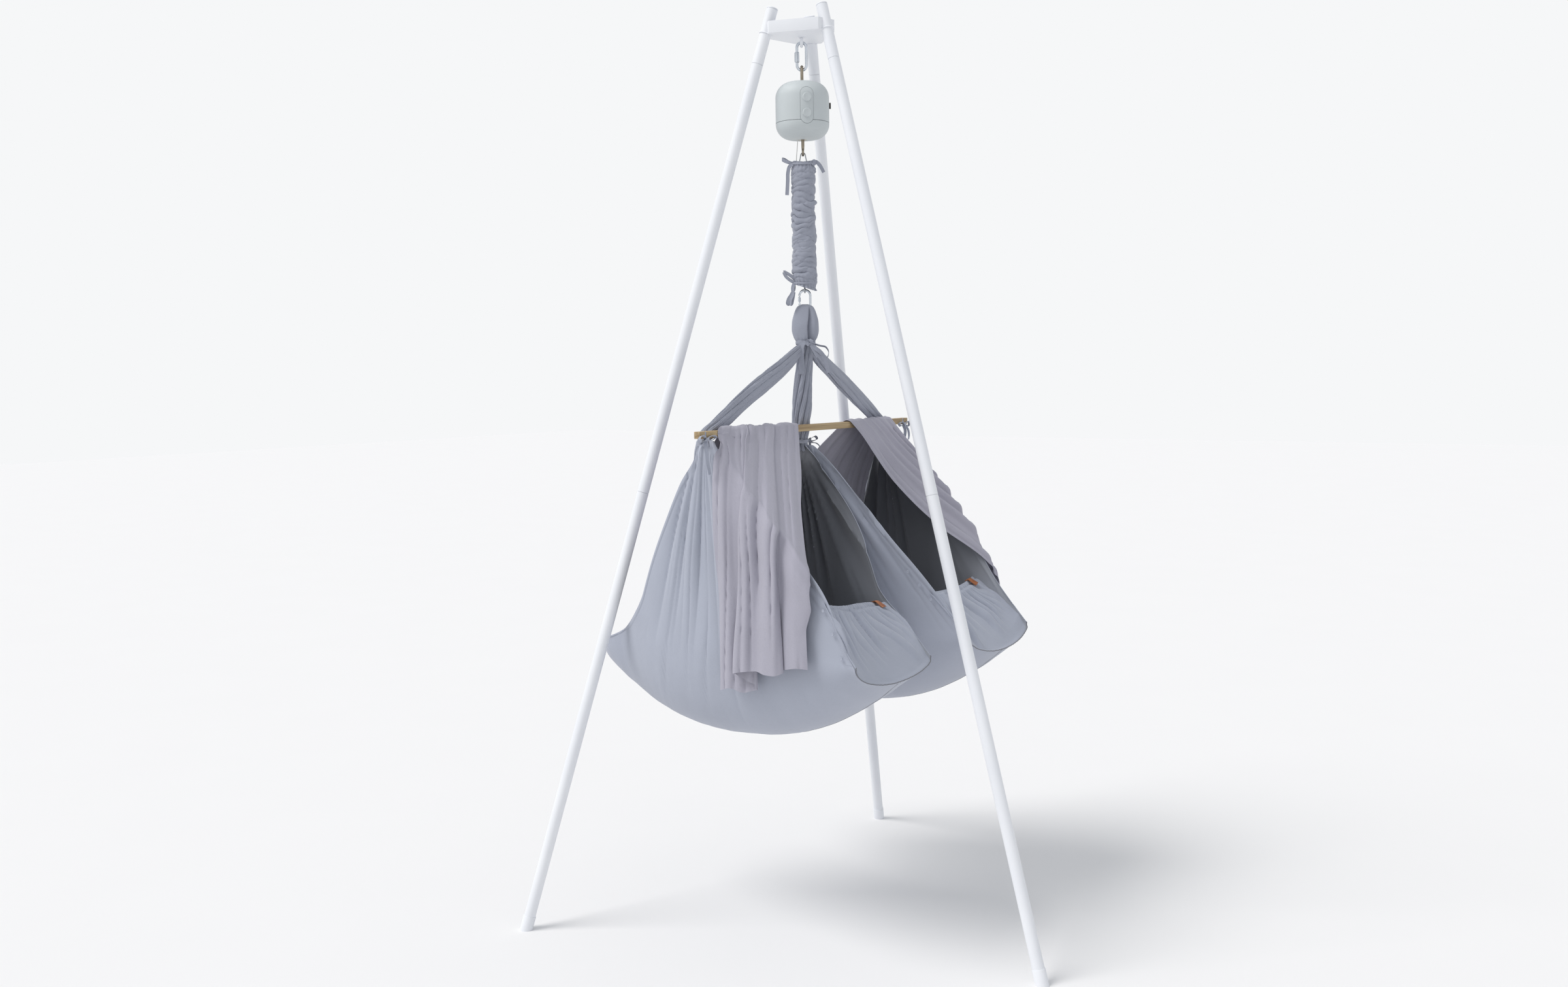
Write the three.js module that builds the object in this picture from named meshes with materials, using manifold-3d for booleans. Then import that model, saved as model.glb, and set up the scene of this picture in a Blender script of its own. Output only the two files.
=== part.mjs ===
// Twin hanging baby cradle: a three-leg stand, a bobbing motor unit, a covered spring and two
// fabric cradles side by side under one wooden spreader bar. Millimetres, +Z up.
// X runs from the head end to the foot end of the cradles, Y along the spreader bar.

import * as THREE from 'three';
import { mergeVertices } from 'three/addons/utils/BufferGeometryUtils.js';
import Module from 'manifold-3d';

const wasm = await Module();
wasm.setup();

// Clearances
const gap = 0.3;
const overrun = 40;

// Stand
const tipHeight = 1990;
const footReach = 647;
const tipReach = 63.5;
const tubeRadius = 12.5;
const tubeWall = 1.5;
const upperSeamDrop = 121;
const upperSeamHeight = tipHeight - upperSeamDrop;
const lowerSeamHeight = 950;
const spigotLength = 60;
const spigotWall = 1.5;
const capWall = 1;
const footCapHeight = 32;
const footPadThickness = 9;
const tipCapThickness = 3;
const tipPlugLength = 15;
const legTurn = 18.8;
const legAzimuths = { left: 210 + legTurn, right: 330 + legTurn, back: 90 + legTurn };
const roundSides = 20;
const shellSides = 24;

// Top bracket: a tray whose truncated corners meet the legs
const bracketDrop = 59;
const bracketUnderside = tipHeight - bracketDrop;
const bracketPlate = 3;
const bracketFlange = 24;
const bracketCornerHalf = 24;
const bracketCornerReach = 78;

// Hanging hardware
const linkTurn = 35.1;
const eyeWire = 3.6;
const eyeRing = 7.6;
const eyeShank = 4;
const eyeShankLength = 14;
const hangerTail = 6.5;
const linkWire = 3.2;
const linkHalfWidth = 10.2;
const linkStraight = 38.2;
const linkGap = 9;
const sleeveRadius = 6;
const sleeveLength = 22;
const sleeveDrop = 2;
const sleeveGrip = 1.5;
const hangerWire = 3.4;
const hangerBend = 9;

// Motor unit
const motorDrop = 95;
const motorTop = bracketUnderside - motorDrop;
const motorLength = 126;
const motorBottom = motorTop - motorLength;
const motorRadius = 58.5;
const motorWall = 2.5;
const motorBase = 36;
const motorSeam = motorBottom + motorBase;
const topCorner = 34;
const topFlatRadius = 14;
const bottomCorner = 32;
const domeDrop = 2;
const panelTurn = -45;
const panelWidth = 28;
const panelRise = 28;
const panelBottom = motorBottom + panelRise;
const panelLength = 77;
const panelTop = panelBottom + panelLength;
const panelProud = 0.8;
const panelDepth = 1.2;
const buttonRadius = 9.8;
const buttonInset = 22;
const buttonHeights = { lower_button: panelBottom + buttonInset, upper_button: panelTop - buttonInset };
const buttonProud = 3.6;
const buttonDepth = 9;
const buttonStem = 3;
const buttonTravel = 1.5;
const boardOut = 46;
const boardThickness = 1.6;
const boardWidth = 30;
const tabTurn = 35;
const tabHeight = 13;
const tabProud = 4;
const tabThickness = 3;
const deckThickness = 4;
const deckDrop = 41;
const deckHeight = motorTop - deckDrop;
const baseDeckRise = 20;
const baseDeckHeight = motorBottom + baseDeckRise;
const baseDeckRadius = 44;
const cheekOut = 19;
const cheekThickness = 4;
const cheekDepth = 34;
const drumRadius = 12;
const drumLength = 30;
const drumFlange = 16;
const drumFlangeThickness = 2.5;
const shaftRadius = 4;
const shaftDrop = 18;
const shaftHeight = deckHeight - shaftDrop;
const gearboxSize = 34;
const gearboxThickness = 10;
const canRadius = 9;
const canLength = 30;
const strapThickness = 1.5;
const strapWidth = 16;

// Lift rod, safety cord and spring
const rodRadius = 3.5;
const rodRise = 5;
const rodTop = baseDeckHeight + rodRise;
const rodCollar = 8;
const rodCollarHeight = 4;
const rodEyeDrop = 26;
const rodEyeHeight = motorBottom - rodEyeDrop;
const rodEyeRing = 6;
const rodEyeWire = 2.6;
const cordRadius = 0.9;
const cordOut = 11.4;
const cordAcross = 6;
const cordSpread = 3;
const shackleLength = 44;
const springTop = rodEyeHeight - shackleLength;
const springLength = 228;
const springBottom = springTop - springLength;
const springRadius = 17;
const springWire = 2;
const springTurns = 15;
const stepsPerTurn = 8;
const hookWire = 1.8;
const plugThickness = 8;
const coverRise = 25;
const coverTop = springTop + coverRise;
const coverDrop = 18;
const coverBottom = springBottom - coverDrop;
const coverRadius = 28.5;
const coverWall = 4;
const coverMouth = 14;
const mouthShare = 0.82;
const ribbonWidth = 8;
const ribbonThickness = 1.2;

// Carabiner
const snapWire = 2.75;
const snapHalfWidth = 12;
const snapDrop = 27;
const snapTop = springBottom - snapDrop;
const snapLength = 41;
const snapBottom = snapTop - snapLength;
const gateRadius = 2.2;
const gateGap = 0.8;

// Sling
const loopRise = 9;
const loopTop = snapBottom + loopRise;
const loopWidth = 50;
const loopTopHalf = 6.5;
const loopOuterHalf = 19;
const loopInnerHalf = 6;
const loopLength = 87;
const knotHeight = loopTop - loopLength;
const knotHalf = 18.5;
const tieHeight = 10;
const tieThickness = 2.4;
const strapHalfWidth = 22;
const strapHalfDepth = 12;
const bundleHalfWidth = 24;
const bundleHalfDepth = 21;

// Spreader bar
const barSide = 14.5;
const barDrop = 183;
const barHeight = knotHeight - barDrop;
const barX = 12;
const barHalf = 400;
const notchInset = 20;
const notchWidth = 6;
const notchDepth = 2.5;
const gatherOut = 342;
const gatherBehind = 17.5;

// Cradles
const cradleHalf = 391;
const cradleMid = { near: -28, far: -14 };
const cradleOut = 207;
const cradleHalfWidth = 155;
const gatherDrop = 14;
const gatherTop = barHeight - gatherDrop;
const cradleDepth = 631;
const keelLow = gatherTop - cradleDepth;
const keelRise = 150;
const keelPowerShare = 2.3;
const hullDepth = 204;
const gunwale = keelLow + hullDepth;
const gunwaleLip = 8;
const innerSpread = 2.5;
const innerGatherShare = 0.959;
const fabric = 4;
const endBow = 14;
const mattressThickness = 26;
const mattressGap = 0.6;
const pocketThickness = 5;
const pocketCrown = 10;
const pocketGap = 0.8;
const tagThickness = 2.4;
const tagClearance = 1;
const canopyThickness = 3;
const canopyClearance = 5;
const canopyHang = 10;
const hemDrop = 81;
const canopyHemLow = gunwale - hemDrop;
const canopyHemHigh = gunwale;

const group = new THREE.Group();
const hanging = new THREE.Group();

// Directions seen from the plumb line: u lies in the quick link's plane, w across it
const radians = THREE.MathUtils.degToRad;
const up = new THREE.Vector3(0, 0, 1);

function around(turn, out, across, height) {
  const a = radians(turn);
  return new THREE.Vector3(
    out * Math.cos(a) - across * Math.sin(a),
    out * Math.sin(a) + across * Math.cos(a),
    height,
  );
}

// The floor box is centred on the feet, so the plumb line stands a little off it
const footPlaces = Object.values(legAzimuths).map((turn) => around(turn, footReach, 0, 0));
const middle = (values) => (Math.min(...values) + Math.max(...values)) / 2;
const plumb = new THREE.Vector3(
  -middle(footPlaces.map((place) => place.x)),
  -middle(footPlaces.map((place) => place.y)),
  0,
);
hanging.position.copy(plumb);
group.add(hanging);

const finishes = {
  coat: [0xecedf2, 0.45, 0.1],
  steel: [0xb9c0c8, 0.3, 0.9],
  shell: [0xc6cccd, 0.6, 0],
  dark: [0x3a3733, 0.6, 0],
  bronze: [0x958873, 0.5, 0.5],
  board: [0x35604a, 0.6, 0],
  cord: [0xe9e9e4, 0.8, 0],
  cloth: [0xa6aaba, 0.9, 0],
  veil: [0xb3b0bf, 0.9, 0],
  wood: [0xb0966b, 0.6, 0],
  leather: [0xa8642f, 0.7, 0],
};

function finish(name) {
  const [color, roughness, metalness] = finishes[name];
  return new THREE.MeshStandardMaterial({ color, roughness, metalness });
}

// Solids

function bare(geometry) {
  const plain = geometry.clone();
  plain.deleteAttribute('normal');
  plain.deleteAttribute('uv');
  return mergeVertices(plain, 1e-4);
}

function volumeOf(geometry) {
  const places = geometry.getAttribute('position');
  const [a, b, c] = [new THREE.Vector3(), new THREE.Vector3(), new THREE.Vector3()];
  let volume = 0;
  for (let i = 0; i < geometry.index.count; i += 3) {
    a.fromBufferAttribute(places, geometry.index.getX(i));
    b.fromBufferAttribute(places, geometry.index.getX(i + 1));
    c.fromBufferAttribute(places, geometry.index.getX(i + 2));
    volume += a.dot(b.cross(c)) / 6;
  }
  return volume;
}

function outward(geometry) {
  const plain = bare(geometry);
  if (volumeOf(plain) < 0) {
    const order = plain.index.array;
    for (let i = 0; i < order.length; i += 3) [order[i], order[i + 1]] = [order[i + 1], order[i]];
  }
  return plain;
}

function solid(geometry) {
  const plain = outward(geometry);
  return new wasm.Manifold(new wasm.Mesh({
    numProp: 3,
    vertProperties: new Float32Array(plain.getAttribute('position').array),
    triVerts: new Uint32Array(plain.index.array),
  }));
}

function shapeOf(manifold) {
  const mesh = manifold.getMesh();
  const geometry = new THREE.BufferGeometry();
  geometry.setAttribute('position', new THREE.BufferAttribute(mesh.vertProperties, 3));
  geometry.setIndex(new THREE.BufferAttribute(mesh.triVerts, 1));
  return geometry;
}

function add(name, geometry, finishName, parent = hanging) {
  const shape = outward(geometry);
  shape.computeVertexNormals();
  const mesh = new THREE.Mesh(shape, finish(finishName));
  mesh.name = name;
  parent.add(mesh);
  return mesh;
}

function turned(profile, sides = roundSides) {
  const points = profile.map(([radius, height]) => new THREE.Vector2(radius, height));
  return new THREE.LatheGeometry(points, sides).rotateX(Math.PI / 2);
}

function rod(radius, low, high, sides = roundSides) {
  return turned([[0, low], [radius, low], [radius, high], [0, high]], sides);
}

function pipe(inner, outer, low, high, sides = roundSides) {
  return turned([[inner, low], [outer, low], [outer, high], [inner, high], [inner, low]], sides);
}

function polygonShape(radius, sides) {
  const corners = [];
  for (let i = 0; i < sides; i++) {
    const a = (i / sides) * Math.PI * 2;
    corners.push(new THREE.Vector2(radius * Math.cos(a), radius * Math.sin(a)));
  }
  return new THREE.Shape(corners);
}

function wire(points, radius, steps, sides = 8) {
  const route = new THREE.CatmullRomCurve3(points, false, 'centripetal');
  return new THREE.ExtrudeGeometry(polygonShape(radius, sides), { extrudePath: route, steps });
}

function closedWire(points, radius, sides = 8) {
  const count = points.length;
  const places = [];
  const order = [];
  const middlePoint = points.reduce((sum, p) => sum.add(p), new THREE.Vector3()).divideScalar(count);
  const flat = new THREE.Vector3().crossVectors(
    points[0].clone().sub(middlePoint), points[Math.round(count / 4)].clone().sub(middlePoint),
  ).normalize();
  for (let i = 0; i < count; i++) {
    const ahead = points[(i + 1) % count].clone().sub(points[(i + count - 1) % count]).normalize();
    const side = new THREE.Vector3().crossVectors(ahead, flat);
    for (let j = 0; j < sides; j++) {
      const a = (j / sides) * Math.PI * 2;
      const place = points[i].clone()
        .addScaledVector(side, radius * Math.cos(a)).addScaledVector(flat, radius * Math.sin(a));
      places.push(place.x, place.y, place.z);
      const next = [((i + 1) % count) * sides, (j + 1) % sides];
      order.push(i * sides + j, next[0] + j, next[0] + next[1]);
      order.push(i * sides + j, next[0] + next[1], i * sides + next[1]);
    }
  }
  const geometry = new THREE.BufferGeometry();
  geometry.setAttribute('position', new THREE.Float32BufferAttribute(places, 3));
  geometry.setIndex(order);
  return geometry;
}

// A sheet of cloth as one closed solid: rows of points, given thickness along their normals
function sheet(rows, under, over) {
  const count = rows[0].length;
  const normalAt = (i, j) => {
    const along = rows[Math.min(i + 1, rows.length - 1)][j].clone().sub(rows[Math.max(i - 1, 0)][j]);
    const across = rows[i][Math.min(j + 1, count - 1)].clone().sub(rows[i][Math.max(j - 1, 0)]);
    return along.cross(across).normalize();
  };
  const places = [];
  for (const offset of [under, over]) {
    rows.forEach((row, i) => row.forEach((point, j) => {
      const place = point.clone().addScaledVector(normalAt(i, j), offset);
      places.push(place.x, place.y, place.z);
    }));
  }
  const at = (layer, i, j) => (layer * rows.length + i) * count + j;
  const order = [];
  const quad = (a, b, c, d) => order.push(a, b, c, a, c, d);
  for (let i = 0; i < rows.length - 1; i++) {
    for (let j = 0; j < count - 1; j++) {
      quad(at(1, i, j), at(1, i + 1, j), at(1, i + 1, j + 1), at(1, i, j + 1));
      quad(at(0, i, j), at(0, i, j + 1), at(0, i + 1, j + 1), at(0, i + 1, j));
    }
    const last = count - 1;
    quad(at(0, i, 0), at(0, i + 1, 0), at(1, i + 1, 0), at(1, i, 0));
    quad(at(1, i, last), at(1, i + 1, last), at(0, i + 1, last), at(0, i, last));
  }
  for (let j = 0; j < count - 1; j++) {
    const last = rows.length - 1;
    quad(at(1, 0, j), at(1, 0, j + 1), at(0, 0, j + 1), at(0, 0, j));
    quad(at(0, last, j), at(0, last, j + 1), at(1, last, j + 1), at(1, last, j));
  }
  const geometry = new THREE.BufferGeometry();
  geometry.setAttribute('position', new THREE.Float32BufferAttribute(places, 3));
  geometry.setIndex(order);
  return geometry;
}

function ovalRing(centre, side, top, halfWidth, halfDepth, sides) {
  const ring = [];
  for (let j = 0; j < sides; j++) {
    const a = (j / sides) * Math.PI * 2;
    ring.push(centre.clone().addScaledVector(side, halfWidth * Math.cos(a))
      .addScaledVector(top, halfDepth * Math.sin(a)));
  }
  return ring;
}

// A closed body through a row of rings, with flat ends
function skin(rows) {
  const sides = rows[0].length;
  const places = rows.flat().flatMap((p) => [p.x, p.y, p.z]);
  const order = [];
  for (let i = 0; i < rows.length - 1; i++) {
    for (let j = 0; j < sides; j++) {
      const k = (j + 1) % sides;
      const [a, b, c, d] = [i * sides + j, i * sides + k, (i + 1) * sides + k, (i + 1) * sides + j];
      order.push(a, b, c, a, c, d);
    }
  }
  const last = (rows.length - 1) * sides;
  for (let j = 1; j < sides - 1; j++) {
    order.push(0, j + 1, j);
    order.push(last, last + j, last + j + 1);
  }
  const geometry = new THREE.BufferGeometry();
  geometry.setAttribute('position', new THREE.Float32BufferAttribute(places, 3));
  geometry.setIndex(order);
  return geometry;
}

// A flat ribbon along chosen points, standing across the given direction
function ribbon(points, across, width, thickness) {
  const half = across.clone().setLength(width / 2);
  const rows = points.map((point) => [point.clone().sub(half), point.clone().add(half)]);
  return sheet(rows, -thickness / 2, thickness / 2);
}

function between(table, share) {
  for (let i = 1; i < table.length; i++) {
    const [s0, v0] = table[i - 1];
    const [s1, v1] = table[i];
    if (share <= s1) return v0 + (v1 - v0) * Math.max(0, (share - s0) / (s1 - s0));
  }
  return table[table.length - 1][1];
}

const mix = (a, b, share) => a + (b - a) * share;
const sideOf = (which) => (which === 'near' ? -1 : 1);

// Stand

const slope = (footReach - tipReach) / tipHeight;
const stretch = Math.hypot(1, slope);
const reachAt = (height) => footReach - slope * height;
const alongLeg = (height) => height * stretch;

function legFrame(turn) {
  const frame = new THREE.Group();
  frame.position.copy(plumb).add(around(turn, footReach, 0, 0));
  const direction = around(turn, -slope, 0, 1).normalize();
  frame.quaternion.setFromUnitVectors(up, direction);
  frame.updateMatrix();
  return frame;
}

function floorBlock() {
  const side = footReach * 4;
  return new THREE.BoxGeometry(side, side, side).translate(0, 0, -side / 2);
}

function buildLeg(name, turn) {
  const frame = legFrame(turn);
  group.add(frame);
  const bore = tubeRadius - tubeWall;
  const spigot = bore - gap;
  const spigotBore = spigot - spigotWall;
  const upperSeam = alongLeg(upperSeamHeight);
  const lowerSeam = alongLeg(lowerSeamHeight);
  const tip = alongLeg(tipHeight) - tipCapThickness;

  // Welded stub, with its spigot down in the upper tube
  add(`${name}_leg_stub`, turned([
    [spigotBore, upperSeam - spigotLength], [spigot, upperSeam - spigotLength],
    [spigot, upperSeam + gap], [tubeRadius, upperSeam + gap],
    [tubeRadius, tip], [spigotBore, tip], [spigotBore, upperSeam - spigotLength],
  ]), 'coat', frame);
  add(`${name}_leg_upper_tube`, pipe(bore, tubeRadius, lowerSeam + gap, upperSeam), 'coat', frame);
  add(`${name}_leg_lower_tube`, turned([
    [spigotBore, footPadThickness], [tubeRadius, footPadThickness],
    [tubeRadius, lowerSeam], [spigot, lowerSeam],
    [spigot, lowerSeam + spigotLength], [spigotBore, lowerSeam + spigotLength],
    [spigotBore, footPadThickness],
  ]), 'coat', frame);

  add(`${name}_tip_cap`, turned([
    [0, tip - tipPlugLength], [spigotBore - gap, tip - tipPlugLength], [spigotBore - gap, tip + gap],
    [tubeRadius, tip + gap], [tubeRadius, tip + tipCapThickness / 2],
    [tubeRadius - capWall, tip + tipCapThickness], [0, tip + tipCapThickness],
  ]), 'coat', frame);

  // Foot cap: a cup over the tube's end, cut level with the floor
  const capRadius = tubeRadius + gap + capWall;
  const cup = turned([
    [0, -overrun], [capRadius, -overrun], [capRadius, footCapHeight], [tubeRadius + gap, footCapHeight],
    [tubeRadius + gap, footPadThickness - gap], [0, footPadThickness - gap],
  ]).applyMatrix4(frame.matrix);
  add(`${name}_foot_cap`, shapeOf(solid(cup).subtract(solid(floorBlock()))), 'coat', group);
}

for (const [name, turn] of Object.entries(legAzimuths)) buildLeg(name, turn);

function bracketOutline(inset) {
  const corners = [];
  for (const name of ['back', 'left', 'right']) {
    for (const side of [-1, 1]) {
      const half = bracketCornerHalf - inset / 2;
      const place = around(legAzimuths[name], bracketCornerReach - inset, side * half, 0);
      corners.push(new THREE.Vector2(place.x, place.y));
    }
  }
  return corners;
}

function buildBracket() {
  const high = bracketPlate + bracketFlange;
  const block = new THREE.ExtrudeGeometry(
    new THREE.Shape(bracketOutline(0)), { depth: high, bevelEnabled: false });
  const hollow = new THREE.ExtrudeGeometry(
    new THREE.Shape(bracketOutline(bracketPlate * 2)), { depth: high, bevelEnabled: false });
  block.translate(0, 0, bracketUnderside);
  hollow.translate(0, 0, bracketUnderside + bracketPlate);
  let tray = solid(block).subtract(solid(hollow));
  for (const turn of Object.values(legAzimuths)) {
    const frame = legFrame(turn);
    const tube = rod(tubeRadius + gap, alongLeg(upperSeamHeight), alongLeg(tipHeight) + overrun);
    tube.applyMatrix4(frame.matrix).translate(-plumb.x, -plumb.y, 0);
    tray = tray.subtract(solid(tube));
  }
  tray = tray.subtract(solid(rod(eyeShank + gap, bracketUnderside - overrun, bracketUnderside + overrun)));
  add('top_bracket', shapeOf(tray), 'coat');
}

buildBracket();

// Eye, quick link and hanger. Each rests in the next with a hair of clearance.

const eyeCentre = bracketUnderside - gap - eyeWire - eyeRing;
const linkTopWire = eyeCentre - eyeRing + eyeWire + gap + linkWire;
const linkBottomWire = linkTopWire - linkStraight - 2 * linkHalfWidth;
const hangerTopWire = linkBottomWire + linkWire + gap + hangerWire;
const linkU = (out, height) => around(linkTurn, out, 0, height);
const linkW = (across, height) => around(linkTurn, 0, -across, height);
const linkAt = (out, across, height) => around(linkTurn, out, -across, height);

function ringPoints(place, radius, centre, count) {
  const points = [];
  for (let i = 0; i < count; i++) {
    const a = (i / count) * Math.PI * 2;
    points.push(place(radius * Math.cos(a), centre + radius * Math.sin(a)));
  }
  return points;
}

function buildEye() {
  const ring = solid(closedWire(ringPoints(linkW, eyeRing, eyeCentre, 20), eyeWire));
  const shankLow = eyeCentre + eyeRing - eyeWire / 2;
  const shank = solid(rod(eyeShank, shankLow, bracketUnderside + eyeShankLength, 12));
  add('hanger_eye', shapeOf(ring.add(shank)), 'coat');
}

buildEye();

// The link is open on its left side, where the threaded sleeve closes it
function buildQuickLink() {
  const topBend = linkTopWire - linkHalfWidth;
  const lowBend = linkBottomWire + linkHalfWidth;
  const points = [];
  const bend = (centre, from, to) => {
    for (let i = 0; i <= 6; i++) {
      const a = mix(from, to, i / 6);
      points.push(linkU(linkHalfWidth * Math.cos(a), centre + linkHalfWidth * Math.sin(a)));
    }
  };
  const sleeveLow = (topBend + lowBend) / 2 - sleeveDrop - sleeveLength / 2;
  const gapLow = sleeveLow + sleeveGrip;
  points.push(linkU(-linkHalfWidth, gapLow + linkGap));
  bend(topBend, Math.PI, 0);
  bend(lowBend, 0, -Math.PI);
  points.push(linkU(-linkHalfWidth, gapLow));
  add('quick_link', wire(points, linkWire, 30), 'steel');
  const sleeve = pipe(linkWire + gap, sleeveRadius, sleeveLow, sleeveLow + sleeveLength);
  const place = linkU(-linkHalfWidth, 0);
  add('quick_link_sleeve', sleeve.translate(place.x, place.y, 0), 'steel');
}

buildQuickLink();

// Motor unit

const innerRadius = motorRadius - motorWall;

function arcPoints(centreRadius, centreHeight, radius, from, to, count) {
  const points = [];
  for (let i = 0; i <= count; i++) {
    const a = mix(from, to, i / count);
    points.push([centreRadius + radius * Math.cos(a), centreHeight + radius * Math.sin(a)]);
  }
  return points;
}

// The outside of the housing, moved outwards by grow, as half a section from bottom to top
function housingProfile(grow) {
  const low = motorBottom + domeDrop + bottomCorner;
  const high = motorTop - domeDrop - topCorner;
  return [
    [0, motorBottom - grow],
    ...arcPoints(motorRadius - bottomCorner, low, bottomCorner + grow, -Math.PI / 2, 0, 5),
    ...arcPoints(motorRadius - topCorner, high, topCorner + grow, 0, Math.PI / 2, 5),
    [topFlatRadius, motorTop + grow],
    [0, motorTop + grow],
  ];
}

const housing = (grow) => solid(turned(housingProfile(grow), shellSides));

function slab(low, high) {
  const side = motorRadius * 4;
  return solid(new THREE.BoxGeometry(side, side, high - low).translate(0, 0, (low + high) / 2));
}

function panelPrism(grow) {
  const radius = panelWidth / 2 + grow;
  const straight = (panelTop - panelBottom - panelWidth) / 2;
  const outline = new THREE.Shape();
  outline.absarc(0, straight, radius, 0, Math.PI);
  outline.absarc(0, -straight, radius, Math.PI, Math.PI * 2);
  const prism = new THREE.ExtrudeGeometry(
    outline, { depth: motorRadius, bevelEnabled: false, curveSegments: 8 });
  prism.rotateX(Math.PI / 2).rotateZ(Math.PI / 2);
  prism.translate(motorRadius / 2, 0, (panelTop + panelBottom) / 2).rotateZ(radians(panelTurn));
  return solid(prism);
}

function buttonBore(height, radius, from, to) {
  const bore = rod(radius, from, to, 16).rotateY(Math.PI / 2);
  return bore.translate(0, 0, height).rotateZ(radians(panelTurn));
}

function buildHousing() {
  let shell = housing(0).subtract(housing(-motorWall));
  shell = shell.subtract(panelPrism(gap).subtract(housing(-panelDepth - gap)));
  for (const height of Object.values(buttonHeights)) {
    shell = shell.subtract(solid(buttonBore(height, buttonRadius + gap, drumRadius, motorRadius * 2)));
  }
  for (const side of [-1, 1]) {
    const hole = rod(hangerWire + gap, deckHeight, motorTop + overrun, 12);
    const place = linkW(side * hangerBend, 0);
    shell = shell.subtract(solid(hole.translate(place.x, place.y, 0)));
  }
  shell = shell.subtract(solid(rod(rodRadius * 2, motorBottom - overrun, motorBottom + overrun / 2)));
  const cordPlace = linkAt(-cordOut, cordAcross, 0);
  const cordHole = rod(cordRadius * 2, motorBottom - overrun, motorBottom + overrun / 2, 10);
  shell = shell.subtract(solid(cordHole.translate(cordPlace.x, cordPlace.y, 0)));
  shell = shell.subtract(solid(tabSlab(gap)));
  const above = slab(motorSeam + gap / 2, motorTop + overrun);
  const below = slab(motorBottom - overrun, motorSeam - gap / 2);
  add('motor_upper_shell', shapeOf(shell.intersect(above)), 'shell');
  add('motor_lower_shell', shapeOf(shell.intersect(below)), 'shell');
  let panel = panelPrism(0).intersect(housing(panelProud).subtract(housing(-panelDepth)));
  for (const height of Object.values(buttonHeights)) {
    panel = panel.subtract(solid(buttonBore(height, buttonRadius + gap, drumRadius, motorRadius * 2)));
  }
  add('control_panel', shapeOf(panel), 'shell');
}

function tabSlab(grow) {
  const depth = tabProud + motorWall * 2;
  const block = new THREE.BoxGeometry(depth, tabThickness + grow * 2, tabHeight + grow * 2);
  const out = motorRadius + tabProud - depth / 2;
  return block.translate(out, 0, (panelTop + panelBottom) / 2 + tabHeight / 2).rotateZ(radians(tabTurn));
}

function buildControls() {
  for (const [name, height] of Object.entries(buttonHeights)) {
    const front = motorRadius + panelProud + buttonProud;
    const back = front - buttonDepth;
    const stemEnd = boardOut + boardThickness + buttonTravel + gap;
    const profile = [
      [0, stemEnd], [buttonStem, stemEnd], [buttonStem, back], [buttonRadius, back],
      [buttonRadius, front - capWall], [buttonRadius - capWall, front], [0, front],
    ];
    const button = turned(profile, 16).rotateY(Math.PI / 2);
    add(name, button.translate(0, 0, height).rotateZ(radians(panelTurn)), 'shell');
  }
  const low = baseDeckHeight;
  const high = deckHeight - gap;
  const board = new THREE.BoxGeometry(boardThickness, boardWidth, high - low);
  board.translate(boardOut + boardThickness / 2, 0, (low + high) / 2).rotateZ(radians(panelTurn));
  add('control_board', board, 'board');
  add('side_tab', tabSlab(0), 'dark');
}

// Chassis: top deck, two cheeks and base deck in one piece, hung from the hanger's legs
function buildChassis() {
  const deckRadius = (innerRadius - gap * 2) * Math.cos(Math.PI / shellSides);
  let frame = solid(rod(deckRadius, deckHeight, deckHeight + deckThickness, shellSides));
  const cheekLow = baseDeckHeight - deckThickness;
  const cheekHigh = deckHeight + deckThickness / 2;
  for (const side of [-1, 1]) {
    const cheek = new THREE.BoxGeometry(cheekThickness, cheekDepth, cheekHigh - cheekLow);
    cheek.translate(side * cheekOut, 0, (cheekHigh + cheekLow) / 2).rotateZ(radians(linkTurn));
    frame = frame.add(solid(cheek));
  }
  frame = frame.add(solid(rod(baseDeckRadius, cheekLow, baseDeckHeight, shellSides)));
  const bore = rod(shaftRadius + gap, -motorRadius, motorRadius, 16).rotateY(Math.PI / 2);
  frame = frame.subtract(solid(bore.translate(0, 0, shaftHeight).rotateZ(radians(linkTurn))));
  frame = frame.subtract(solid(rod(rodRadius + gap, motorBottom, deckHeight - overrun / 4, 16)));
  for (const side of [-1, 1]) {
    const place = linkW(side * hangerBend, 0);
    const hole = rod(hangerWire + gap, deckHeight - overrun / 4, motorTop, 12);
    frame = frame.subtract(solid(hole.translate(place.x, place.y, 0)));
  }
  const boardPlace = new THREE.BoxGeometry(overrun, boardWidth + gap * 2, overrun * 4);
  boardPlace.translate(boardOut - gap + overrun / 2, 0, shaftHeight).rotateZ(radians(panelTurn));
  frame = frame.subtract(solid(boardPlace));
  add('motor_chassis', shapeOf(frame), 'steel');
}

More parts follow.
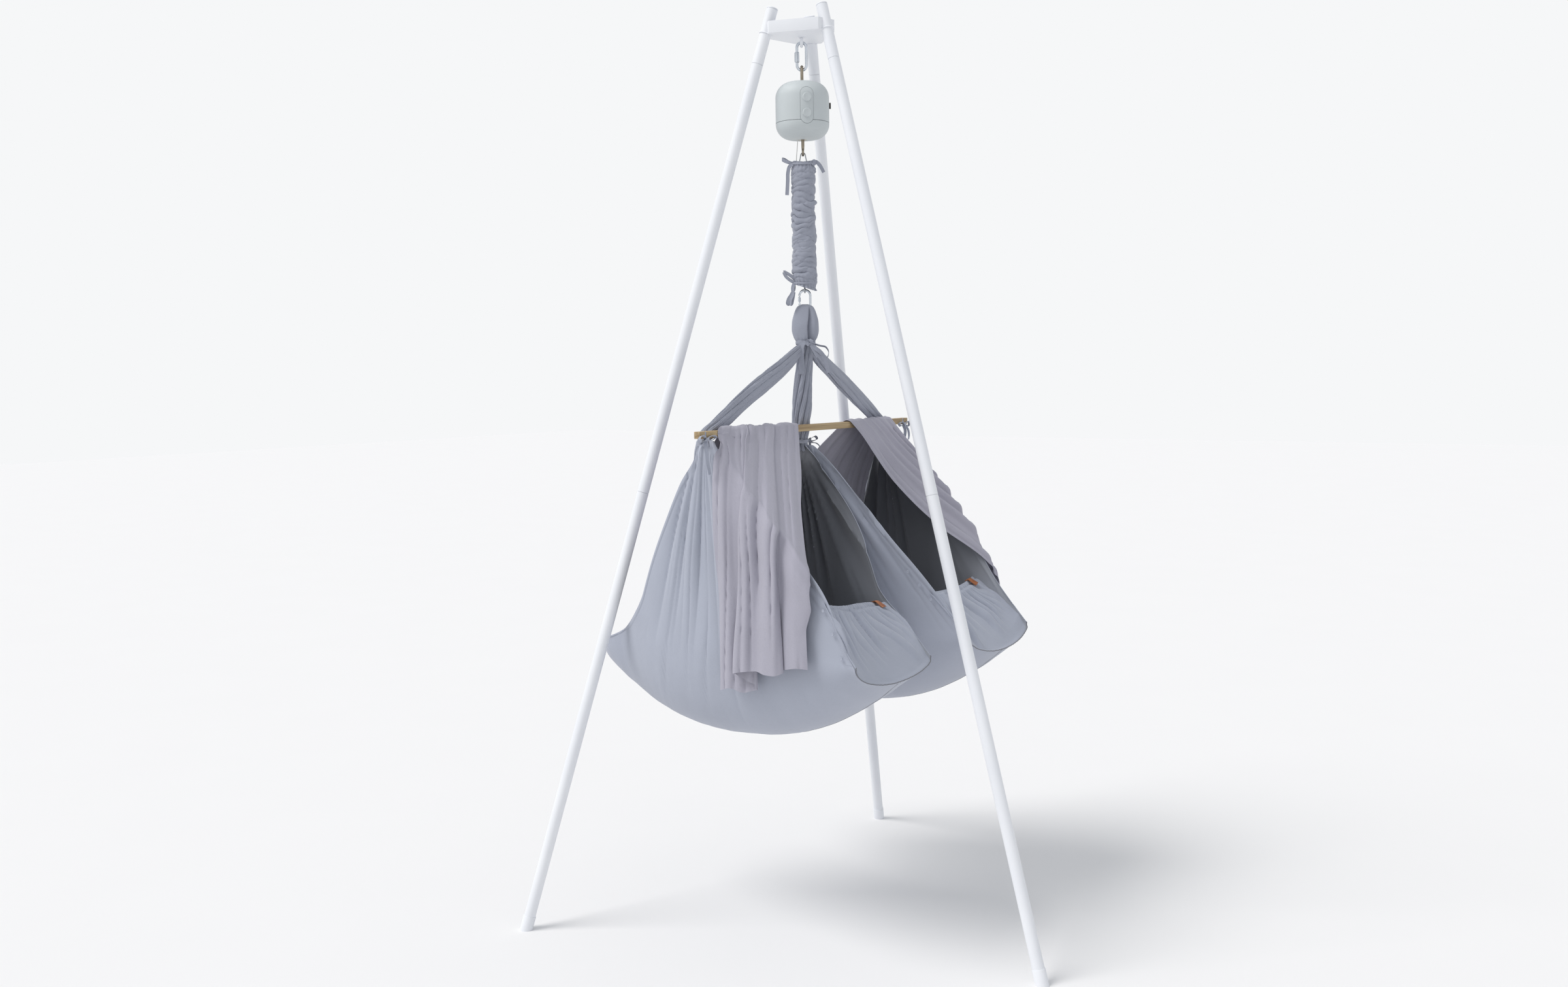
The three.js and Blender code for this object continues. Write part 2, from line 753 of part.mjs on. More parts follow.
function buildDrive() {
  const half = drumLength / 2;
  const end = cheekOut + cheekThickness / 2 + gearboxThickness;
  const profile = [
    [0, -cheekOut - cheekThickness], [shaftRadius, -cheekOut - cheekThickness], [shaftRadius, -half],
    [drumFlange, -half], [drumFlange, -half + drumFlangeThickness],
    [drumRadius, -half + drumFlangeThickness], [drumRadius, half - drumFlangeThickness],
    [drumFlange, half - drumFlangeThickness], [drumFlange, half], [shaftRadius, half],
    [shaftRadius, end], [0, end],
  ];
  const drum = turned(profile, 16).rotateY(Math.PI / 2);
  add('lift_drum', drum.translate(0, 0, shaftHeight).rotateZ(radians(linkTurn)), 'steel');

  const box = new THREE.BoxGeometry(gearboxThickness, gearboxSize, gearboxSize);
  const out = cheekOut + cheekThickness / 2 + gap + gearboxThickness / 2;
  box.translate(out, 0, shaftHeight);
  const can = rod(canRadius, -canLength / 2, canLength / 2, 16).rotateX(Math.PI / 2);
  can.translate(out + canRadius / 2, 0, shaftHeight + gearboxSize / 2 - canRadius);
  const bore = rod(shaftRadius + gap, 0, motorRadius, 16).rotateY(Math.PI / 2).translate(0, 0, shaftHeight);
  const motor = solid(box).add(solid(can)).subtract(solid(bore));
  add('gear_motor', shapeOf(motor).rotateZ(radians(linkTurn)), 'dark');

  // The lifting strap falls from the drum's tangent to the top of the rod
  const fall = drumRadius + gap + strapThickness / 2;
  const rodHead = rodTop + rodCollarHeight + gap;
  const strap = new THREE.BoxGeometry(strapWidth, strapThickness, shaftHeight - rodHead);
  strap.translate(0, -fall, (shaftHeight + rodHead) / 2).rotateZ(radians(linkTurn));
  add('lifting_strap', strap, 'cord');
}

function buildHanger() {
  const low = deckHeight - hangerTail;
  const bendCentre = hangerTopWire - hangerBend;
  const points = [linkW(-hangerBend, low), linkW(-hangerBend, mix(low, bendCentre, 0.5))];
  for (let i = 0; i <= 6; i++) {
    const a = Math.PI * (1 - i / 6);
    points.push(linkW(hangerBend * Math.cos(a), bendCentre + hangerBend * Math.sin(a)));
  }
  points.push(linkW(hangerBend, mix(low, bendCentre, 0.5)), linkW(hangerBend, low));
  add('motor_hanger', wire(points, hangerWire, 30), 'bronze');
}

buildHousing();
buildControls();
buildChassis();
buildDrive();
buildHanger();

// Lift rod: a head above its collar, a shank through the base deck, and an eye for the spring

function buildLiftRod() {
  const collarLow = baseDeckHeight + gap;
  const shank = turned([
    [0, rodEyeHeight + rodEyeRing], [rodRadius, rodEyeHeight + rodEyeRing], [rodRadius, collarLow],
    [rodCollar, collarLow], [rodCollar, collarLow + rodCollarHeight],
    [rodRadius, collarLow + rodCollarHeight], [rodRadius, rodTop], [0, rodTop],
  ], 12);
  const arm = drumRadius + strapThickness + gap * 2;
  const head = new THREE.BoxGeometry(strapWidth, arm + rodRadius * 2, rodCollarHeight);
  head.translate(0, -arm / 2, rodTop + rodCollarHeight / 2).rotateZ(radians(linkTurn));
  const ring = closedWire(ringPoints(linkW, rodEyeRing, rodEyeHeight, 14), rodEyeWire, 6);
  add('lift_rod', shapeOf(solid(shank).add(solid(head)).add(solid(ring))), 'bronze');
}

function buildSafetyCord() {
  const low = baseDeckHeight - deckThickness - gap;
  const points = [
    linkAt(-cordOut, cordAcross, low), linkAt(-cordOut, cordAcross, motorBottom),
    linkAt(-cordOut - cordSpread / 2, cordAcross, mix(motorBottom, coverTop, 0.5)),
    linkAt(-cordOut - cordSpread, cordAcross, coverTop),
    linkAt(-cordOut, cordAcross, springTop + gap),
  ];
  add('safety_cord', wire(points, cordRadius, 20, 6), 'cord');
}

function helix(radius, low, high, turns) {
  const points = [];
  const steps = turns * stepsPerTurn;
  for (let i = 0; i <= steps; i++) {
    const a = (i / stepsPerTurn) * Math.PI * 2;
    points.push(new THREE.Vector3(
      radius * Math.cos(a), radius * Math.sin(a), mix(low, high, i / steps)));
  }
  return points;
}

// A sweep that keeps its section upright, for the spring's coil
function uprightWire(points, radius, sides) {
  return skin(points.map((point, i) => {
    const before = points[Math.max(i - 1, 0)];
    const after = points[Math.min(i + 1, points.length - 1)];
    const ahead = after.clone().sub(before).normalize();
    const side = new THREE.Vector3().crossVectors(ahead, up).normalize();
    const top = new THREE.Vector3().crossVectors(side, ahead);
    return ovalRing(point, side, top, radius, radius, sides);
  }));
}

function buildSpring() {
  add('spring', uprightWire(
    helix(springRadius, springBottom, springTop, springTurns), springWire, 5), 'steel');

  // Upper shackle: a wire from a plug in the coil, over the bottom of the rod's eye and back
  const plugRadius = springRadius * Math.cos(Math.PI / stepsPerTurn) - springWire - gap;
  const upper = rod(plugRadius, springTop - plugThickness, springTop, 14);
  const seat = rodEyeHeight - rodEyeRing;
  const bend = rodEyeWire + hookWire + gap * 2;
  const spread = plugRadius - hookWire;
  const low = springTop - plugThickness / 2;
  const halfway = [mix(bend, spread, 0.5), mix(springTop, seat, 0.5)];
  const route = [linkU(-spread, low), linkU(-halfway[0], halfway[1])];
  for (let i = 0; i <= 6; i++) {
    const a = Math.PI * (1 - i / 6);
    route.push(linkU(bend * Math.cos(a), seat + bend * Math.sin(a)));
  }
  route.push(linkU(...halfway), linkU(spread, low));
  const legs = wire(route, hookWire, 24, 6);
  add('spring_shackle', shapeOf(solid(upper).add(solid(legs))), 'steel');

  // Lower hook: a plug in the coil with an eye under it that carries the carabiner
  const lower = rod(plugRadius, springBottom, springBottom + plugThickness, 14);
  const eyeRingRadius = snapWire + hookWire + gap * 3;
  const eyeHeight = snapTop - snapWire - gap - hookWire + eyeRingRadius;
  const ring = closedWire(ringPoints(linkW, eyeRingRadius, eyeHeight, 14), hookWire, 6);
  const stemLow = eyeHeight + eyeRingRadius - hookWire / 2;
  const stem = rod(hookWire * 1.4, stemLow, springBottom + plugThickness / 2, 8);
  add('spring_hook', shapeOf(solid(lower).add(solid(ring)).add(solid(stem))), 'steel');

  // Gathered cloth sleeve over the spring, drawn in at both mouths
  const coverInner = coverRadius - coverWall;
  const neck = (springRadius + springWire + gap) / Math.cos(Math.PI / shellSides);
  const [neckLow, neckHigh] = [springBottom + coverWall, springTop - coverWall];
  const cover = turned([
    [neck, coverBottom + coverWall], [coverRadius * mouthShare, coverBottom],
    [coverRadius, coverBottom + coverMouth], [coverRadius, coverTop - coverMouth],
    [coverRadius * mouthShare, coverTop], [neck, coverTop - coverWall],
    [neck, neckHigh], [coverInner, neckHigh - coverMouth], [coverInner, neckLow + coverMouth],
    [neck, neckLow], [neck, coverBottom + coverWall],
  ], shellSides);
  add('spring_cover', cover, 'cloth');
}

buildLiftRod();
buildSafetyCord();
buildSpring();

// Carabiner: a closed oval of wire with its gate on the left side

function carabinerWire(radius) {
  const points = [];
  const bend = (centre, from, to) => {
    for (let i = 0; i <= 6; i++) {
      const a = mix(from, to, i / 6);
      points.push(linkU(snapHalfWidth * Math.cos(a), centre + snapHalfWidth * Math.sin(a)));
    }
  };
  bend(snapTop - snapHalfWidth, Math.PI, 0);
  bend(snapBottom + snapHalfWidth, 0, -Math.PI);
  return wire(points, radius, 26);
}

function buildCarabiner() {
  add('carabiner', carabinerWire(snapWire), 'steel');
  const gateLow = snapBottom + snapHalfWidth + gateGap;
  const gateHigh = snapTop - snapHalfWidth - gateGap;
  const place = linkU(-snapHalfWidth, 0);
  // Its lower end narrows, so that it turns clear of the wire
  const gate = turned([
    [0, gateLow], [gateRadius * 0.4, gateLow], [gateRadius, gateLow + gateRadius * 0.6],
    [gateRadius, gateHigh], [0, gateHigh],
  ], 10);
  add('carabiner_gate', gate.translate(place.x, place.y, 0), 'steel');
}

buildCarabiner();

// Sling: loop over the carabiner, neck tie, two straps and the centre bundle

function buildSlingLoop() {
  const holeTop = snapBottom + snapWire + gap;
  const side = new THREE.Shape();
  side.absarc(0, loopTop - loopOuterHalf, loopOuterHalf, 0, Math.PI);
  side.lineTo(-knotHalf, knotHeight + gap);
  side.lineTo(knotHalf, knotHeight + gap);
  const hole = new THREE.Path();
  hole.absarc(0, holeTop - loopInnerHalf, loopInnerHalf, 0, Math.PI);
  hole.lineTo(-loopInnerHalf, knotHeight + tieHeight * 2);
  hole.lineTo(loopInnerHalf, knotHeight + tieHeight * 2);
  side.holes.push(hole);
  const across = new THREE.ExtrudeGeometry(
    side, { depth: loopWidth, bevelEnabled: false, curveSegments: 8 });
  across.translate(0, 0, -loopWidth / 2).rotateX(Math.PI / 2).rotateZ(Math.PI / 2);

  // The cloth is bunched inside the carabiner and spreads below it
  const wide = loopWidth / 2;
  const shoulder = snapBottom - snapWire * 2;
  const belly = mix(shoulder, knotHeight, 0.35);
  const front = new THREE.Shape([
    new THREE.Vector2(-knotHalf, knotHeight), new THREE.Vector2(knotHalf, knotHeight),
    new THREE.Vector2(knotHalf, knotHeight + tieHeight), new THREE.Vector2(wide, belly),
    new THREE.Vector2(loopTopHalf, shoulder), new THREE.Vector2(loopTopHalf, loopTop + gap),
    new THREE.Vector2(-loopTopHalf, loopTop + gap), new THREE.Vector2(-loopTopHalf, shoulder),
    new THREE.Vector2(-wide, belly), new THREE.Vector2(-knotHalf, knotHeight + tieHeight),
  ]);
  const face = new THREE.ExtrudeGeometry(front, { depth: loopWidth * 2, bevelEnabled: false });
  face.translate(0, 0, -loopWidth).rotateX(Math.PI / 2);
  const waist = turned([
    [0, knotHeight], [knotHalf, knotHeight], [knotHalf, knotHeight + tieHeight],
    [wide, belly], [wide, loopTop + gap], [0, loopTop + gap],
  ]);
  const cloth = shapeOf(solid(across).intersect(solid(face)).intersect(solid(waist)));
  const loop = solid(cloth.rotateZ(radians(linkTurn))).subtract(solid(carabinerWire(snapWire + gap)));
  add('sling_loop', shapeOf(loop), 'cloth');
}

const bundleBehind = barX - barSide / 2 - gap - bundleHalfDepth;
const bundleShares = [[0, 0.72], [0.12, 0.86], [0.35, 1], [0.75, 0.95], [1, 0.72]];

function bundleSkin(grow) {
  const rows = [];
  const low = keelLow + (gatherTop - keelLow) * innerGatherShare + gap * 3;
  for (const [share, size] of bundleShares) {
    const behind = mix(bundleBehind, 0, Math.max(0, share * 1.25 - 0.25));
    const centre = new THREE.Vector3(behind, 0, mix(low - grow, knotHeight + grow, share));
    const [x, y] = [new THREE.Vector3(1, 0, 0), new THREE.Vector3(0, 1, 0)];
    rows.push(ovalRing(centre, y, x, bundleHalfWidth * size + grow, bundleHalfDepth * size + grow, 12));
  }
  return rows;
}

// A strap from the neck out to the bar, where its bunch bends down into the cradle's side
function buildStrap(which) {
  const side = sideOf(which);
  const end = gatherTop + gap;
  const behind = gatherBehind;
  const route = new THREE.CatmullRomCurve3([
    new THREE.Vector3(0, side * knotHalf * 0.6, knotHeight - tieHeight * 1.5),
    new THREE.Vector3(-behind * 0.1, side * gatherOut * 0.2, mix(knotHeight, end, 0.2)),
    new THREE.Vector3(-behind * 0.5, side * gatherOut * 0.6, mix(knotHeight, end, 0.57)),
    new THREE.Vector3(-behind * 0.8, side * gatherOut * 0.92, mix(knotHeight, end, 0.87)),
    new THREE.Vector3(-behind, side * gatherOut, mix(knotHeight, end, 0.96)),
    new THREE.Vector3(-behind, side * gatherOut, end),
  ], false, 'centripetal');
  const wideShares = [[0, 0.6], [0.2, 0.9], [0.5, 1], [0.85, 0.85], [1, 0.75]];
  const deepShares = [[0, 0.6], [0.5, 0.6], [0.85, 0.9], [1, 1]];
  const rows = [];
  const count = 12;
  for (let i = 0; i <= count; i++) {
    const share = i / count;
    const ahead = i === count ? new THREE.Vector3(0, 0, -1) : route.getTangentAt(share);
    const depth = new THREE.Vector3(1, 0, 0);
    const width = new THREE.Vector3().crossVectors(ahead, depth).normalize();
    const half = [strapHalfWidth * between(wideShares, share), strapHalfDepth * between(deepShares, share)];
    rows.push(ovalRing(route.getPointAt(share), width, depth, ...half, 10));
  }
  const strap = solid(skin(rows)).subtract(solid(skin(bundleSkin(gap))));
  const pieces = strap.decompose().sort((a, b) => b.volume() - a.volume());
  add(`${which}_strap`, shapeOf(pieces[0]), 'cloth');
}

function buildNeckTie() {
  const ring = pipe(knotHalf + gap, knotHalf + gap + tieThickness, knotHeight, knotHeight + tieHeight - gap);
  const start = knotHalf + tieThickness / 2;
  const height = knotHeight + tieHeight / 2;
  const left = ribbon([
    linkAt(-start * 0.3, start, height), linkAt(-start * 0.3, start * 1.5, knotHeight - tieHeight),
    linkAt(-start * 0.35, start * 1.75, knotHeight - tieHeight * 6.5),
  ], linkU(1, 0), ribbonWidth * 1.3, ribbonThickness);
  const right = ribbon([
    linkAt(start * 0.5, start * 1.05, height), linkAt(start * 1.3, start * 1.05, height),
    linkAt(start * 1.9, start * 1.1, knotHeight - tieHeight),
    linkAt(start * 2, start * 1.1, knotHeight - tieHeight * 4),
  ], linkW(1, 0), ribbonWidth, ribbonThickness);
  add('neck_tie', shapeOf(solid(ring).add(solid(left)).add(solid(right))), 'cloth');
}

// Spreader bar with a tie notch near each end

function buildBar() {
  let bar = solid(new THREE.BoxGeometry(barSide, barHalf * 2, barSide).translate(barX, 0, barHeight));
  for (const side of [-1, 1]) {
    const block = new THREE.BoxGeometry(barSide + overrun, notchWidth, barSide + overrun);
    const core = new THREE.BoxGeometry(barSide - notchDepth * 2, overrun, barSide - notchDepth * 2);
    const groove = solid(block).subtract(solid(core));
    bar = bar.subtract(groove.translate([barX, side * (barHalf - notchInset), barHeight]));
  }
  add('spreader_bar', shapeOf(bar), 'wood');
}

// A ribbon tied round the bar in its notch, with a bow and tails hanging from it
function buildBarTie(which) {
  const side = sideOf(which);
  const y = side * (barHalf - notchInset);
  const inner = barSide - notchDepth * 2 + gap * 2;
  const outer = barSide + ribbonThickness * 2;
  const width = notchWidth - gap * 2;
  const ring = solid(new THREE.BoxGeometry(outer, width, outer))
    .subtract(solid(new THREE.BoxGeometry(inner, overrun, inner))).translate([barX, y, barHeight]);
  const low = barHeight - outer / 2;
  const across = new THREE.Vector3(1, 0, 0);
  const start = new THREE.Vector3(barX, y, low + ribbonThickness / 2);
  const tail = (dy, dz, bend) => solid(ribbon([
    start, start.clone().add(new THREE.Vector3(0, side * bend, dz * 0.3)),
    start.clone().add(new THREE.Vector3(0, side * dy, dz)),
  ], across, ribbonWidth, ribbonThickness));
  const tie = ring.add(tail(ribbonWidth * 3, -ribbonWidth * 5, ribbonWidth * 3))
    .add(tail(ribbonWidth * 0.7, -ribbonWidth * 9, ribbonWidth * 0.7));
  add(`${which}_bar_tie`, shapeOf(tie), 'cloth');
}

function buildCentreTie() {
  const rows = bundleSkin(gap);
  const outer = bundleSkin(tieThickness);
  const low = rows[0][0].z + tieHeight * 0.4;
  const band = solid(skin(outer)).subtract(solid(skin(rows)))
    .intersect(slab(low, low + tieHeight));
  const edge = bundleHalfWidth * bundleShares[0][1] + tieThickness;
  const start = new THREE.Vector3(bundleBehind, edge, low + tieHeight / 2);
  const bow = ribbon([
    start, start.clone().add(new THREE.Vector3(ribbonWidth * 2, ribbonWidth * 2, ribbonWidth / 2)),
    start.clone().add(new THREE.Vector3(ribbonWidth * 2.4, ribbonWidth * 2.2, -ribbonWidth)),
  ], up, ribbonWidth, ribbonThickness);
  add('centre_tie', shapeOf(band.add(solid(bow))), 'cloth');
}

// Cradles. A station is a cross-section at a share of the half length, -1 head to 1 foot.
// Rims are heights in shares of the way from the keel's lowest point to the gather at the bar.

const widthShares = [
  [-1, 0.07], [-0.95, 0.24], [-0.87, 0.46], [-0.78, 0.54], [-0.69, 0.6], [-0.6, 0.7], [-0.5, 0.8],
  [-0.3, 0.93], [0, 1], [0.4, 1], [0.8, 0.97], [1, 0.92],
];
const headRimShares = [
  [-1, 0.276], [-0.95, 0.28], [-0.8, 0.3], [-0.69, 0.328], [-0.57, 0.379], [-0.445, 0.464],
];
const innerHeadShares = [
  [-0.396, 0.515], [-0.32, 0.6], [-0.22, 0.72], [-0.128, 0.83],
  [-0.07, innerGatherShare], [0.06, innerGatherShare],
];
const rimShares = {
  near: {
    outer: [
      ...headRimShares, [-0.396, 0.523], [-0.32, 0.624], [-0.22, 0.748], [-0.128, 0.859], [-0.04, 0.94],
      [-0.018, 1], [0.082, 1], [0.107, 0.983], [0.225, 0.907], [0.737, 0.58], [0.8, 0.529],
      [0.87, 0.447], [0.93, 0.37], [1, 0.32],
    ],
    inner: [
      ...headRimShares, ...innerHeadShares, [0.107, 0.94], [0.225, 0.86], [0.496, 0.645], [0.62, 0.479],
      [0.84, 0.374], [1, 0.282],
    ],
  },
  far: {
    inner: [
      ...headRimShares, ...innerHeadShares, [0.107, 0.94], [0.225, 0.87], [0.504, 0.661], [0.788, 0.474],
      [0.928, 0.371], [1, 0.33],
    ],
    outer: [
      ...headRimShares, [-0.348, 0.542], [-0.22, 0.653], [-0.143, 0.751], [-0.105, 0.859], [-0.07, 0.946],
      [-0.054, 1], [0.046, 1], [0.08, 0.983], [0.225, 0.89], [0.588, 0.62], [0.767, 0.45],
      [0.926, 0.345], [1, 0.3],
    ],
  },
};
const stationShares = [
  -1, -0.95, -0.87, -0.78, -0.69, -0.57, -0.445, -0.32, -0.22, -0.128, -0.07, -0.018, 0.046, 0.107,
  0.225, 0.4, 0.55, 0.67, 0.8, 0.87, 0.93, 1,
];
const heightOf = (share) => mix(keelLow, gatherTop, share);

function station(which, t) {
  const keel = keelLow + keelRise * Math.abs(t) ** keelPowerShare;
  const rimOf = (edge) => heightOf(between(rimShares[which][edge], t));
  const half = cradleHalfWidth * between(widthShares, t);
  return { keel, rim: { outer: rimOf('outer'), inner: rimOf('inner') }, half };
}

const gunwaleAt = (section, edge) => Math.min(gunwale, section.rim[edge] - gunwaleLip);

// Distance of the outer face from the cradle's own keel line, at one height
function reachOfSide(which, t, edge, height) {
  const section = station(which, t);
  const low = gunwaleAt(section, edge);
  if (height > low) {
    const gather = edge === 'outer' ? gatherOut - cradleOut : cradleOut - innerSpread;
    return mix(section.half, gather, (height - low) / (gatherTop - low));
  }
  const share = Math.max(0, Math.min(1, (height - section.keel) / (low - section.keel)));
  return section.half * Math.sin(Math.acos(1 - share));
}

// out is measured from the keel line, positive towards the bar's end
function cradlePlace(which, t, out, height) {
  const bow = endBow * Math.max(0, (Math.abs(t) - 0.6) / 0.4) ** 2 * (out / cradleHalfWidth) ** 2;
  return new THREE.Vector3(
    cradleMid[which] + cradleHalf * t - Math.sign(t) * bow,
    sideOf(which) * (cradleOut + out),
    height,
  );
}

const edgeSign = { outer: 1, inner: -1 };

function bottomHeight(section, edge, angle) {
  return mix(section.keel, gunwaleAt(section, edge), 1 - Math.cos(angle));
}

function cradleRow(which, t, sideSteps) {
  const section = station(which, t);
  const wall = (edge) => {
    const points = [];
    for (let i = sideSteps; i >= 1; i--) {
      const height = mix(gunwaleAt(section, edge), section.rim[edge], i / sideSteps);
      points.push(cradlePlace(which, t, edgeSign[edge] * reachOfSide(which, t, edge, height), height));
    }
    for (let i = 5; i >= 1; i--) {
      const angle = (i / 5) * (Math.PI / 2);
      const out = edgeSign[edge] * section.half * Math.sin(angle);
      points.push(cradlePlace(which, t, out, bottomHeight(section, edge, angle)));
    }
    return points;
  };
  const keel = cradlePlace(which, t, 0, section.keel);
  const row = [...wall('outer'), keel, ...wall('inner').reverse()];
  return which === 'near' ? row : row.reverse();
}

function buildCradleBody(which) {
  const rows = stationShares.map((t) => cradleRow(which, t, 3));
  add(`${which}_cradle_body`, sheet(rows, 0, fabric), 'cloth');
}

// The mattress lies on the inside of the hull
function buildMattress(which) {
  const rows = [];
  for (const t of stationShares.filter((share) => share > -0.75 && share < 0.75)) {
    const section = station(which, t);
    const row = [];
    for (const turn of [-54, -36, -18, 0, 18, 36, 54]) {
      const angle = radians(turn);
      const edge = turn > 0 ? 'outer' : 'inner';
      row.push(cradlePlace(which, t, section.half * Math.sin(angle), bottomHeight(section, edge, angle)));
    }
    rows.push(which === 'near' ? row.reverse() : row);
  }
  const low = fabric + mattressGap;
  add(`${which}_mattress`, sheet(rows, low, low + mattressThickness), 'cord');
}

// Foot pocket: from the elastic edge down to the seam along the foot end
const elasticShares = {
  near: { outer: [0.8, 0.51], middle: [0.71, 0.47], inner: [0.66, 0.44] },
  far: { outer: [0.6, 0.45], middle: [0.68, 0.44], inner: [0.77, 0.46] },
};
const pocketSeamShare = 0.985;

function pocketPoint(which, down, across) {
  const edge = across > 0 ? 'outer' : 'inner';
  const reach = Math.abs(across);
  const line = elasticShares[which];
  const [t0, z0] = [0, 1].map((k) => mix(line.middle[k], line[edge][k], reach));
  const t = mix(t0, pocketSeamShare, down);
  const section = station(which, t);
  const angle = Math.asin(reach * 0.94);
  const seam = bottomHeight(section, edge, angle) + fabric + pocketThickness;
  const crown = pocketCrown * Math.sin(Math.PI * down) * (1 - across * across);
  const height = mix(heightOf(z0), seam, down) + crown;
  const inside = fabric + pocketThickness / 2 + pocketGap;
  const out = across * (reachOfSide(which, t, edge, height) - inside);
  return cradlePlace(which, t, out, height);
}

function pocketRows(which, downs, acrosses) {
  const rows = downs.map((down) => acrosses.map((across) => pocketPoint(which, down, across)));
  return which === 'near' ? rows.map((row) => row.reverse()) : rows;
}

function buildPocket(which) {
  const rows = pocketRows(which, [0, 0.16, 0.45, 0.7, 1], [-1, -0.74, -0.6, -0.3, 0, 0.3, 0.6, 0.74, 1]);
  add(`${which}_foot_pocket`, sheet(rows, -pocketThickness / 2, pocketThickness / 2), 'cloth');
  const edge = which === 'near' ? -1 : 1;
  const patch = pocketRows(which, [0.01, 0.15], [edge * 0.61, edge * 0.73].sort((a, b) => a - b));
  const face = pocketThickness / 2 + tagClearance;
  add(`${which}_pocket_tag`, sheet(patch, face, face + tagThickness), 'leather');
}

// Canopy: from a hem across the head end, over the bar, over the outer rim and down outside
const canopyShares = {
  near: { back: 0.85, front: 0.92, to: 0.19, rimFrom: 0.21, rimTo: 0.737, hemDrift: 0.03 },
  far: { back: 0.85, front: 0.92, to: 0.42, rimFrom: 0.21, rimTo: 0.76, hemDrift: 0.03 },
};
const roofShares = [-0.34, -0.2, -0.1];

function canopyColumn(which, share) {
  const side = sideOf(which);
  const plan = canopyShares[which];
  const barOut = (edge) => gatherOut * mix(plan[edge], plan.to, share);
  const points = [];
  for (const t of roofShares) {
    const { rim } = station(which, t);
    const height = mix(rim.outer, rim.inner, share) - canopyClearance * 2;
    const inside = fabric + canopyThickness / 2 + canopyClearance / 2;
    const outerOut = reachOfSide(which, t, 'outer', height) - inside;
    const innerOut = inside - reachOfSide(which, t, 'inner', height);
    const spread = Math.min(1, Math.abs(t / roofShares[0]) + 0.25);
    const straight = mix(outerOut, innerOut, share);
    points.push(cradlePlace(which, t, mix(barOut('back') - cradleOut, straight, spread), height));
  }
  const top = barHeight + barSide / 2 + gap + canopyThickness / 2;
  const half = barSide / 2 + canopyThickness * 0.75;
  points.push(new THREE.Vector3(barX - half, side * barOut('back'), top));
  points.push(new THREE.Vector3(barX + half, side * barOut('front'), top));

  const t = mix(plan.rimFrom, plan.rimTo, share);
  const { rim } = station(which, t);
  const foldHeight = rim.outer + canopyClearance;
  const rimOut = reachOfSide(which, t, 'outer', rim.outer);
  points.push(cradlePlace(which, t, rimOut - fabric, foldHeight + canopyClearance / 2));
  points.push(cradlePlace(which, t, rimOut + canopyHang * 0.8, foldHeight));
  const hem = mix(canopyHemLow, canopyHemHigh, share);
  for (const fall of [0.1, 0.4, 1]) {
    const height = mix(foldHeight, hem, fall);
    const out = reachOfSide(which, t, 'outer', Math.max(height, gunwale)) + canopyHang;
    points.push(cradlePlace(which, t + plan.hemDrift * fall, out, height));
  }
  return points;
}

function buildCanopy(which) {
  const columns = [];
  const count = 7;
  for (let i = 0; i <= count; i++) columns.push(canopyColumn(which, i / count));
  const rows = columns[0].map((_, i) => columns.map((column) => column[i]));
  const half = canopyThickness / 2;
  add(`${which}_canopy`, sheet(rows, -half, half), 'veil');
}

// Drawstring ribbons at the two mouths of the spring cover

function buildDrawstrings() {
  const bandWidth = ribbonWidth / 2;
  const coneAt = (inwards) => coverRadius * mix(mouthShare, 1, inwards / coverMouth);
  const band = (inwards, low) => {
    const inner = coneAt(inwards) + gap;
    return pipe(inner, inner + ribbonThickness, low, low + bandWidth, shellSides);
  };
  const tail = (points) => solid(ribbon(points, linkW(1, 0), ribbonWidth, ribbonThickness));

  const high = coverTop - bandWidth * 1.5;
  const edge = coneAt(bandWidth * 2) + gap + ribbonThickness / 2;
  const upperBand = band(bandWidth * 2, coverTop - bandWidth * 2);
  const loop = tail([
    linkAt(-edge, 0, high), linkAt(-edge * 1.5, 0, high + bandWidth),
    linkAt(-edge * 1.8, 0, high + ribbonWidth),
  ]);
  const longTail = tail([
    linkAt(-edge * 0.95, edge * 0.42, high), linkAt(-edge * 1.25, edge * 0.5, high - ribbonWidth * 2),
    linkAt(-edge * 1.27, edge * 0.5, high - ribbonWidth * 8),
  ]);
  const shortTail = tail([
    linkAt(edge, 0, high), linkAt(edge * 1.3, 0, high),
    linkAt(edge * 1.65, 0, high - ribbonWidth * 1.5),
  ]);
  add('upper_drawstring', shapeOf(solid(upperBand).add(loop).add(longTail).add(shortTail)), 'cloth');

  const low = coverBottom + bandWidth / 2;
  const lowEdge = coneAt(bandWidth) + gap + ribbonThickness / 2;
  const lowTail = tail([
    linkAt(-lowEdge, 0, low), linkAt(-lowEdge * 1.35, 0, low - ribbonWidth),
    linkAt(-lowEdge * 1.3, 0, low - ribbonWidth * 6),
  ]);
  add('lower_drawstring', shapeOf(solid(band(bandWidth, coverBottom)).add(lowTail)), 'cloth');
}

buildSlingLoop();
add('centre_bundle', skin(bundleSkin(0)), 'cloth');
buildNeckTie();
buildCentreTie();
buildBar();
buildDrawstrings();
for (const which of ['near', 'far']) {
  buildStrap(which);
  buildBarTie(which);
  buildCradleBody(which);
  buildMattress(which);
  buildPocket(which);
  buildCanopy(which);
}

export default group;
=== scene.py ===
# %% [markdown]
# A twin hanging cradle, dressed for rendering.
# The imported model comes first. It is the fixed frame: every piece made here lies where its solid
# lies, and most ride on that solid's body and so move as the real object does.

# %% Load the imported model
import math
from contextlib import contextmanager
from functools import lru_cache

import bmesh
import bpy
from mathutils import Matrix, Vector, noise


